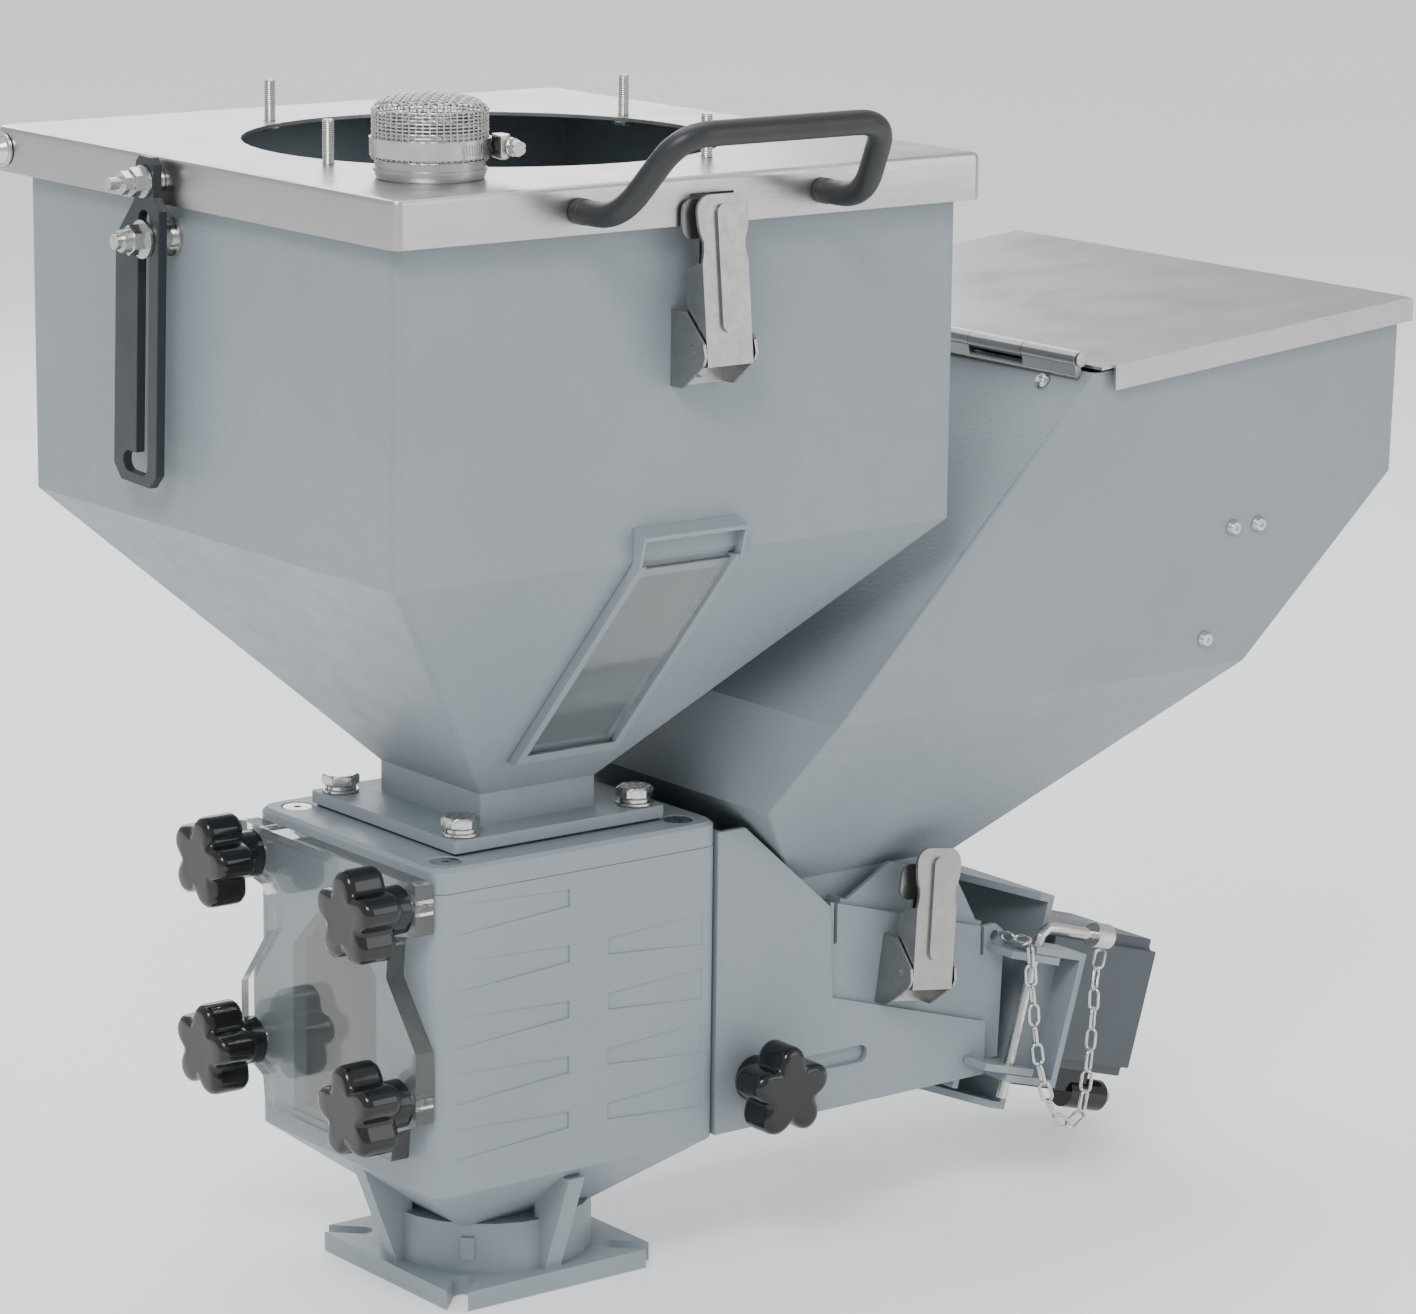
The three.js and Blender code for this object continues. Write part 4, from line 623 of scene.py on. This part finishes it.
HANDLE_WALL_Y = -175.3
HANDLE_FOOT_Z = 573
HANDLE_FOOT_HALF = 72
HANDLE_RADIUS = 6
HANDLE_BEND = 17


def lid_handle():
    """A bent bar that leaves the lid's front flange level and rises to its grip."""
    half, foot_z = HANDLE_FOOT_HALF, HANDLE_FOOT_Z
    points = [(-half, HANDLE_WALL_Y, foot_z), (-half, -207, foot_z), (-60, -237, 613), (60, -237, 613),
              (half, -207, foot_z), (half, HANDLE_WALL_Y, foot_z)]
    bar = sweep("bar", filleted(points, HANDLE_BEND), HANDLE_RADIUS)
    collars = [washer("collar", (side * half, HANDLE_WALL_Y, foot_z), (0, -1, 0), 5.5, 6.25, 6)
               for side in (-1, 1)]
    handle = soften(merge("lid_handle_shape", [bar, *collars]), 0, angle=40)
    stand_for(handle, "black_steel", "lid_handle")


VENT = Vector((-112.4, -113.2, 585))
VENT_R = 26
MESH_R = VENT_R + 1


def vent():
    """A short pipe with a bead near its foot, the woven cap over it, and the clamp that holds the cap."""
    r = VENT_R
    profile = [(r - 1.6, 0), (r - 0.7, 0), (r - 0.3, 0.8), (r, 2), (r, 3.2), (r + 0.7, 3.4), (r + 0.7, 4.9),
               (r, 5.1), (r, 21.6), (r - 0.4, 22), (r - 1.2, 22), (r - 1.6, 21.6)]
    pipe = lathe("vent_pipe_shape", profile, VENT, UP, 96, True)
    soften(pipe, 0, angle=40)
    stand_for(pipe, "satin_stainless", "vent_pipe")
    woven_cap()
    clamp()


WIRE = 0.42
WIRE_SIDES = 5
WIRES_AROUND = 52
WIRE_SWING = 0.288
WALL_HEIGHTS = [9 + 1.66 * k for k in range(15)]
DOME_PITCH = 3.1
DOME_SWING = 0.34
DOME_REACH = 8


def on_mesh_wall(angle, out, z):
    r = MESH_R + out
    return VENT + Vector((r * math.cos(angle), r * math.sin(angle), z))


def woven_cap():
    """Woven wire: upright wires that go over and under the rings, with a crossed weave on the dome."""
    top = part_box("vent_mesh_cap")[1].z / MM - VENT.z - 0.6
    parts = []
    for k in range(WIRES_AROUND):
        angle = 2 * math.pi * k / WIRES_AROUND
        path = [on_mesh_wall(angle, WIRE_SWING if (j + k) % 2 else -WIRE_SWING, z)
                for j, z in enumerate(WALL_HEIGHTS)]
        parts.append(sweep("upright", path, WIRE, WIRE_SIDES))
    steps = WIRES_AROUND * 2
    for j, z in enumerate(WALL_HEIGHTS):
        path = [on_mesh_wall(2 * math.pi * k / steps, -WIRE_SWING * math.cos(math.pi * (k / 2 + j)), z)
                for k in range(steps)]
        parts.append(sweep("ring", path, WIRE, WIRE_SIDES, closed=True))
    for direction, parity in ((0, -1), (1, 1)):
        for line in range(-DOME_REACH, DOME_REACH + 1):
            parts.append(sweep("dome", dome_wire(line, direction, parity, top), WIRE, WIRE_SIDES))
    cap = merge("vent_mesh_cap_shape", parts)
    cap.data.shade_smooth()
    stand_for(cap, "zinc_plate", "vent_mesh_cap")


def dome_wire(line, direction, parity, top):
    """One wire of the dome's weave, along Y for direction 0 and along X for 1."""
    offset = line * DOME_PITCH
    half = math.sqrt(max(0, MESH_R ** 2 - offset ** 2))
    steps = max(8, int(2 * half / DOME_PITCH * 2))
    path = []
    for i in range(steps + 1):
        along = -half + 2 * half * i / steps
        z = cap_height(math.hypot(along, offset), top)
        z += parity * DOME_SWING * math.cos(math.pi * along / DOME_PITCH + math.pi * line)
        x, y = (along, offset) if direction else (offset, along)
        path.append(VENT + Vector((x, y, z)))
    return path


def cap_height(radial, top):
    """Height of the mesh cap's dome: nearly flat, and turned down at the rim."""
    u = min(1.0, radial / MESH_R)
    return top - 3.6 * u ** 2 - 3.4 * max(0.0, (u - 0.8) / 0.2) ** 2


BAND_FOOT = 10.6
BAND_WIDTH = 8.4
BAND_INNER = VENT_R + 1.7
BAND_OUTER = VENT_R + 2.5
BAND_SLOTS_EACH_SIDE = 16
BAND_SLOT_MIDDLE = -37
BAND_SLOT_PITCH = 3.4
BAND_SLOT_LEAN = 0.12
SADDLE_HALF_HEIGHT = 5.6


def clamp():
    """Worm-drive band: slotted strap, housing and screw."""
    z0, z1 = BAND_FOOT, BAND_FOOT + BAND_WIDTH
    profile = [(BAND_INNER, z0), (BAND_OUTER, z0), (BAND_OUTER, z1), (BAND_INNER, z1)]
    band = lathe("band", profile, VENT, UP, 120, True)
    slots = []
    for k in range(-BAND_SLOTS_EACH_SIDE, BAND_SLOTS_EACH_SIDE + 1):
        angle = math.radians(BAND_SLOT_MIDDLE + k * BAND_SLOT_PITCH)
        centre = VENT + Vector((BAND_OUTER * math.cos(angle), BAND_OUTER * math.sin(angle),
                                BAND_FOOT + BAND_WIDTH / 2))
        cutter = block("slot", (-0.35, -0.5, -2.6), (0.35, 2.2, 2.6))
        lean = Matrix.Rotation(BAND_SLOT_LEAN, 4, "Y")
        cutter.data.transform(Matrix.Rotation(angle - math.pi / 2, 4, "Z") @ lean)
        cutter.data.transform(Matrix.Translation(centre * MM))
        slots.append(cutter)
    carve(band, merge("slots", slots))
    x, y = VENT.x + 23.5, VENT.y - 17.5
    zc = VENT.z + BAND_FOOT + BAND_WIDTH / 2
    outline = [(x - 2.5, y - 10), (x + 1.5, y - 10), (x + 7, y - 4), (x + 7, y + 2.5), (x + 1, y + 3)]
    saddle = prism("saddle", outline, zc - SADDLE_HALF_HEIGHT, zc + SADDLE_HALF_HEIGHT)
    soften(saddle, 0.8, 3)
    core = Vector((x + 5, y - 3, zc))
    barrel = rod("barrel", core + Vector((-0.4, -7.5, 0)), core + Vector((0.5, 8, 0)), 4.4, 36, 0.6)
    worm = threaded("worm", core + Vector((0.4, 7, 0)), core + Vector((1.0, 16, 0)), 3.6, 2.2, 0.9, 24)
    neck = rod("neck", core + Vector((-1, -10, 0)), core + Vector((-0.4, -7, 0)), 2.6, 24)
    head = hexagon("head", core + Vector((-1.4, -13.4, 0)), core + Vector((-1, -9.6, 0)), 6.8, 0.6)
    slit = block("slit", (core.x - 6, core.y - 14.5, zc - 0.5), (core.x + 4, core.y - 12.3, zc + 0.5))
    carve(head, slit)
    whole = merge("hose_clamp_shape", [band, saddle, barrel, worm, neck, head])
    soften(whole, 0, angle=35)
    stand_for(whole, "zinc_plate", "hose_clamp")


# ---------------------------------------------------------------- lock chain
LINK_LENGTH = 13.5
LINK_WIDTH = 7.4
LINK_WIRE = 0.95
LINK_PLAY = 0.5
CHAIN_STEPS = 400
CHAIN_ROUTE = [(281, -80.6, 146.3), (281, -91, 147), (281, -99.5, 147.6), (281, -104.6, 143),
               (281.5, -105, 130), (284, -105, 112), (285.5, -105.2, 97), (288.8, -105.6, 79),
               (294, -106, 62), (301, -106, 48), (311, -106, 41.5), (319.5, -106, 47), (323, -106, 64),
               (325.2, -105.6, 80.5), (327.3, -105, 102.8), (329, -104, 119)]


def chain_link(centre, along, normal):
    """An oval link: two straight sides and two round ends."""
    along = along.normalized()
    normal = (normal - along * normal.dot(along)).normalized()
    side = along.cross(normal)
    r = LINK_WIDTH / 2 - LINK_WIRE
    straight = LINK_LENGTH / 2 - LINK_WIDTH / 2
    path = []
    for end, start in ((1, -90), (-1, 90)):
        for i in range(9):
            angle = math.radians(start + 180 * i / 8)
            path.append(centre + along * (end * straight + r * math.cos(angle)) + side * r * math.sin(angle))
    return sweep("link", path, LINK_WIRE, 8, closed=True)


def lock_chain():
    """Links along the route from the carriage to the pin's eye, each a quarter turn on from the last."""
    end = module_point(249.5, -98, 36.5)
    path = smooth_path([Vector(p) for p in CHAIN_ROUTE] + [end], CHAIN_STEPS)
    pitch = LINK_LENGTH - 2 * LINK_WIRE - LINK_PLAY
    lengths = [0.0]
    for a, b in zip(path, path[1:]):
        lengths.append(lengths[-1] + (b - a).length)
    total = lengths[-1]
    count = int(total / pitch)
    pitch = total / count
    parts = []
    for k in range(count):
        at = (k + 0.5) * pitch
        i = next(i for i, d in enumerate(lengths) if d >= at)
        tangent = (path[min(i + 4, len(path) - 1)] - path[max(i - 4, 0)]).normalized()
        across = Vector((0, 1, 0))
        flat = across if k % 2 else tangent.cross(across)
        twist = Matrix.Rotation(0.35 + 0.12 * math.sin(k * 2.3), 3, tangent)
        parts.append(chain_link(path[i], tangent, twist @ flat))
    chain = merge("lock_chain_shape", parts)
    chain.data.shade_smooth()
    chain.data.materials.append(LOOK["zinc_plate"])
    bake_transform(chain)
    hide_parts("lock_chain")
    done.add("lock_chain")


def smooth_path(points, steps):
    """A Catmull-Rom curve through the points."""
    path = []
    spans = len(points) - 1
    for k in range(steps + 1):
        t = k / steps * spans
        i = min(int(t), spans - 1)
        u = t - i
        p = [points[max(i - 1, 0)], points[i], points[i + 1], points[min(i + 2, spans)]]
        square = 2 * p[0] - 5 * p[1] + 4 * p[2] - p[3]
        cube = 3 * p[1] - p[0] - 3 * p[2] + p[3]
        path.append(0.5 * ((2 * p[1]) + (p[2] - p[0]) * u + square * u * u + cube * u ** 3))
    return path


# ---------------------------------------------------------------- stage and light
FLOOR_HALF = 9000
FLOOR_Z = -0.6
FLOOR_GLOW = 0.34
SKY = (0.93, 0.95, 0.97, 1)
SKY_STRENGTH = 0.8
LIGHT_TARGET = (0.1, 0, 0.35)
LIGHTS = {  # position in metres, size in metres, power in watts
    "key": ((-1.9, -1.6, 2.6), (1.3, 1.0), 62),
    "fill": ((1.8, -2.6, 1.2), (1.8, 1.8), 20),
    "top": ((0.3, 0.6, 2.6), (2.0, 1.4), 30),
    "back": ((1.2, 2.6, 1.6), (1.8, 1.2), 25),
}


def area_light(name, position, size, power):
    data = bpy.data.lights.new(name, "AREA")
    data.shape = "RECTANGLE"
    data.size, data.size_y = size
    data.energy = power
    light = bpy.data.objects.new(name, data)
    light.location = position
    light.rotation_euler = (Vector(LIGHT_TARGET) - Vector(position)).to_track_quat("-Z", "Y").to_euler()
    scene.collection.objects.link(light)


def studio():
    """A pale floor that glows a little, an even sky and four soft lights."""
    half = FLOOR_HALF
    corners = [(-half, -half, FLOOR_Z), (half, -half, FLOOR_Z), (half, half, FLOOR_Z), (-half, half, FLOOR_Z)]
    floor = mesh_object("floor", corners, [(0, 1, 2, 3)])
    mat, tree, shader = graph("floor", 0.0, 0.8)
    tree.links.new(ramp(tree, noise(tree, 1.5, 2), 0.88, 0.9), shader.inputs["Base Color"])
    shader.inputs["Emission Color"].default_value = (1, 1, 1, 1)
    shader.inputs["Emission Strength"].default_value = FLOOR_GLOW
    floor.data.materials.append(mat)
    world = bpy.data.worlds.new("studio")
    world.use_nodes = True
    background = world.node_tree.nodes["Background"]
    background.inputs["Color"].default_value = SKY
    background.inputs["Strength"].default_value = SKY_STRENGTH
    scene.world = world
    for name, (position, size, power) in LIGHTS.items():
        area_light(name, position, size, power)


# ---------------------------------------------------------------- assembly
place_camera()
knobs()
hopper_bolts()
loader_studs()
lid_handle()
vent()
lock_chain()

SMALL_EDGE = (0.4, 2)  # width of the rounding in millimetres, and its segments
SHARP = (0, 1)
EDGE = {
    "neck_housing": (1.6, 3), "neck_top_plate": (1.0, 2), "main_hopper": (1.4, 3), "dosing_hopper": (1.6, 3),
    "main_lid": (0.9, 3), "dosing_lid": (0.9, 3), "front_cover": SHARP, "sight_window": SHARP,
    "dosing_console": (0.8, 2), "dosing_carriage": (0.8, 2), "motor_bracket": (0.8, 2),
    "drive_motor": (0.8, 2), "window_frame": (1.0, 2),
}
for node_name in sorted(nodes):
    if node_name in done:
        continue
    if "latch" in node_name:
        dress(node_name, *SHARP, "latch_zinc")
    else:
        finish_name = "slate_steel" if node_name == "lid_stay" else None
        dress(node_name, *EDGE.get(node_name, SMALL_EDGE), finish_name)

studio()
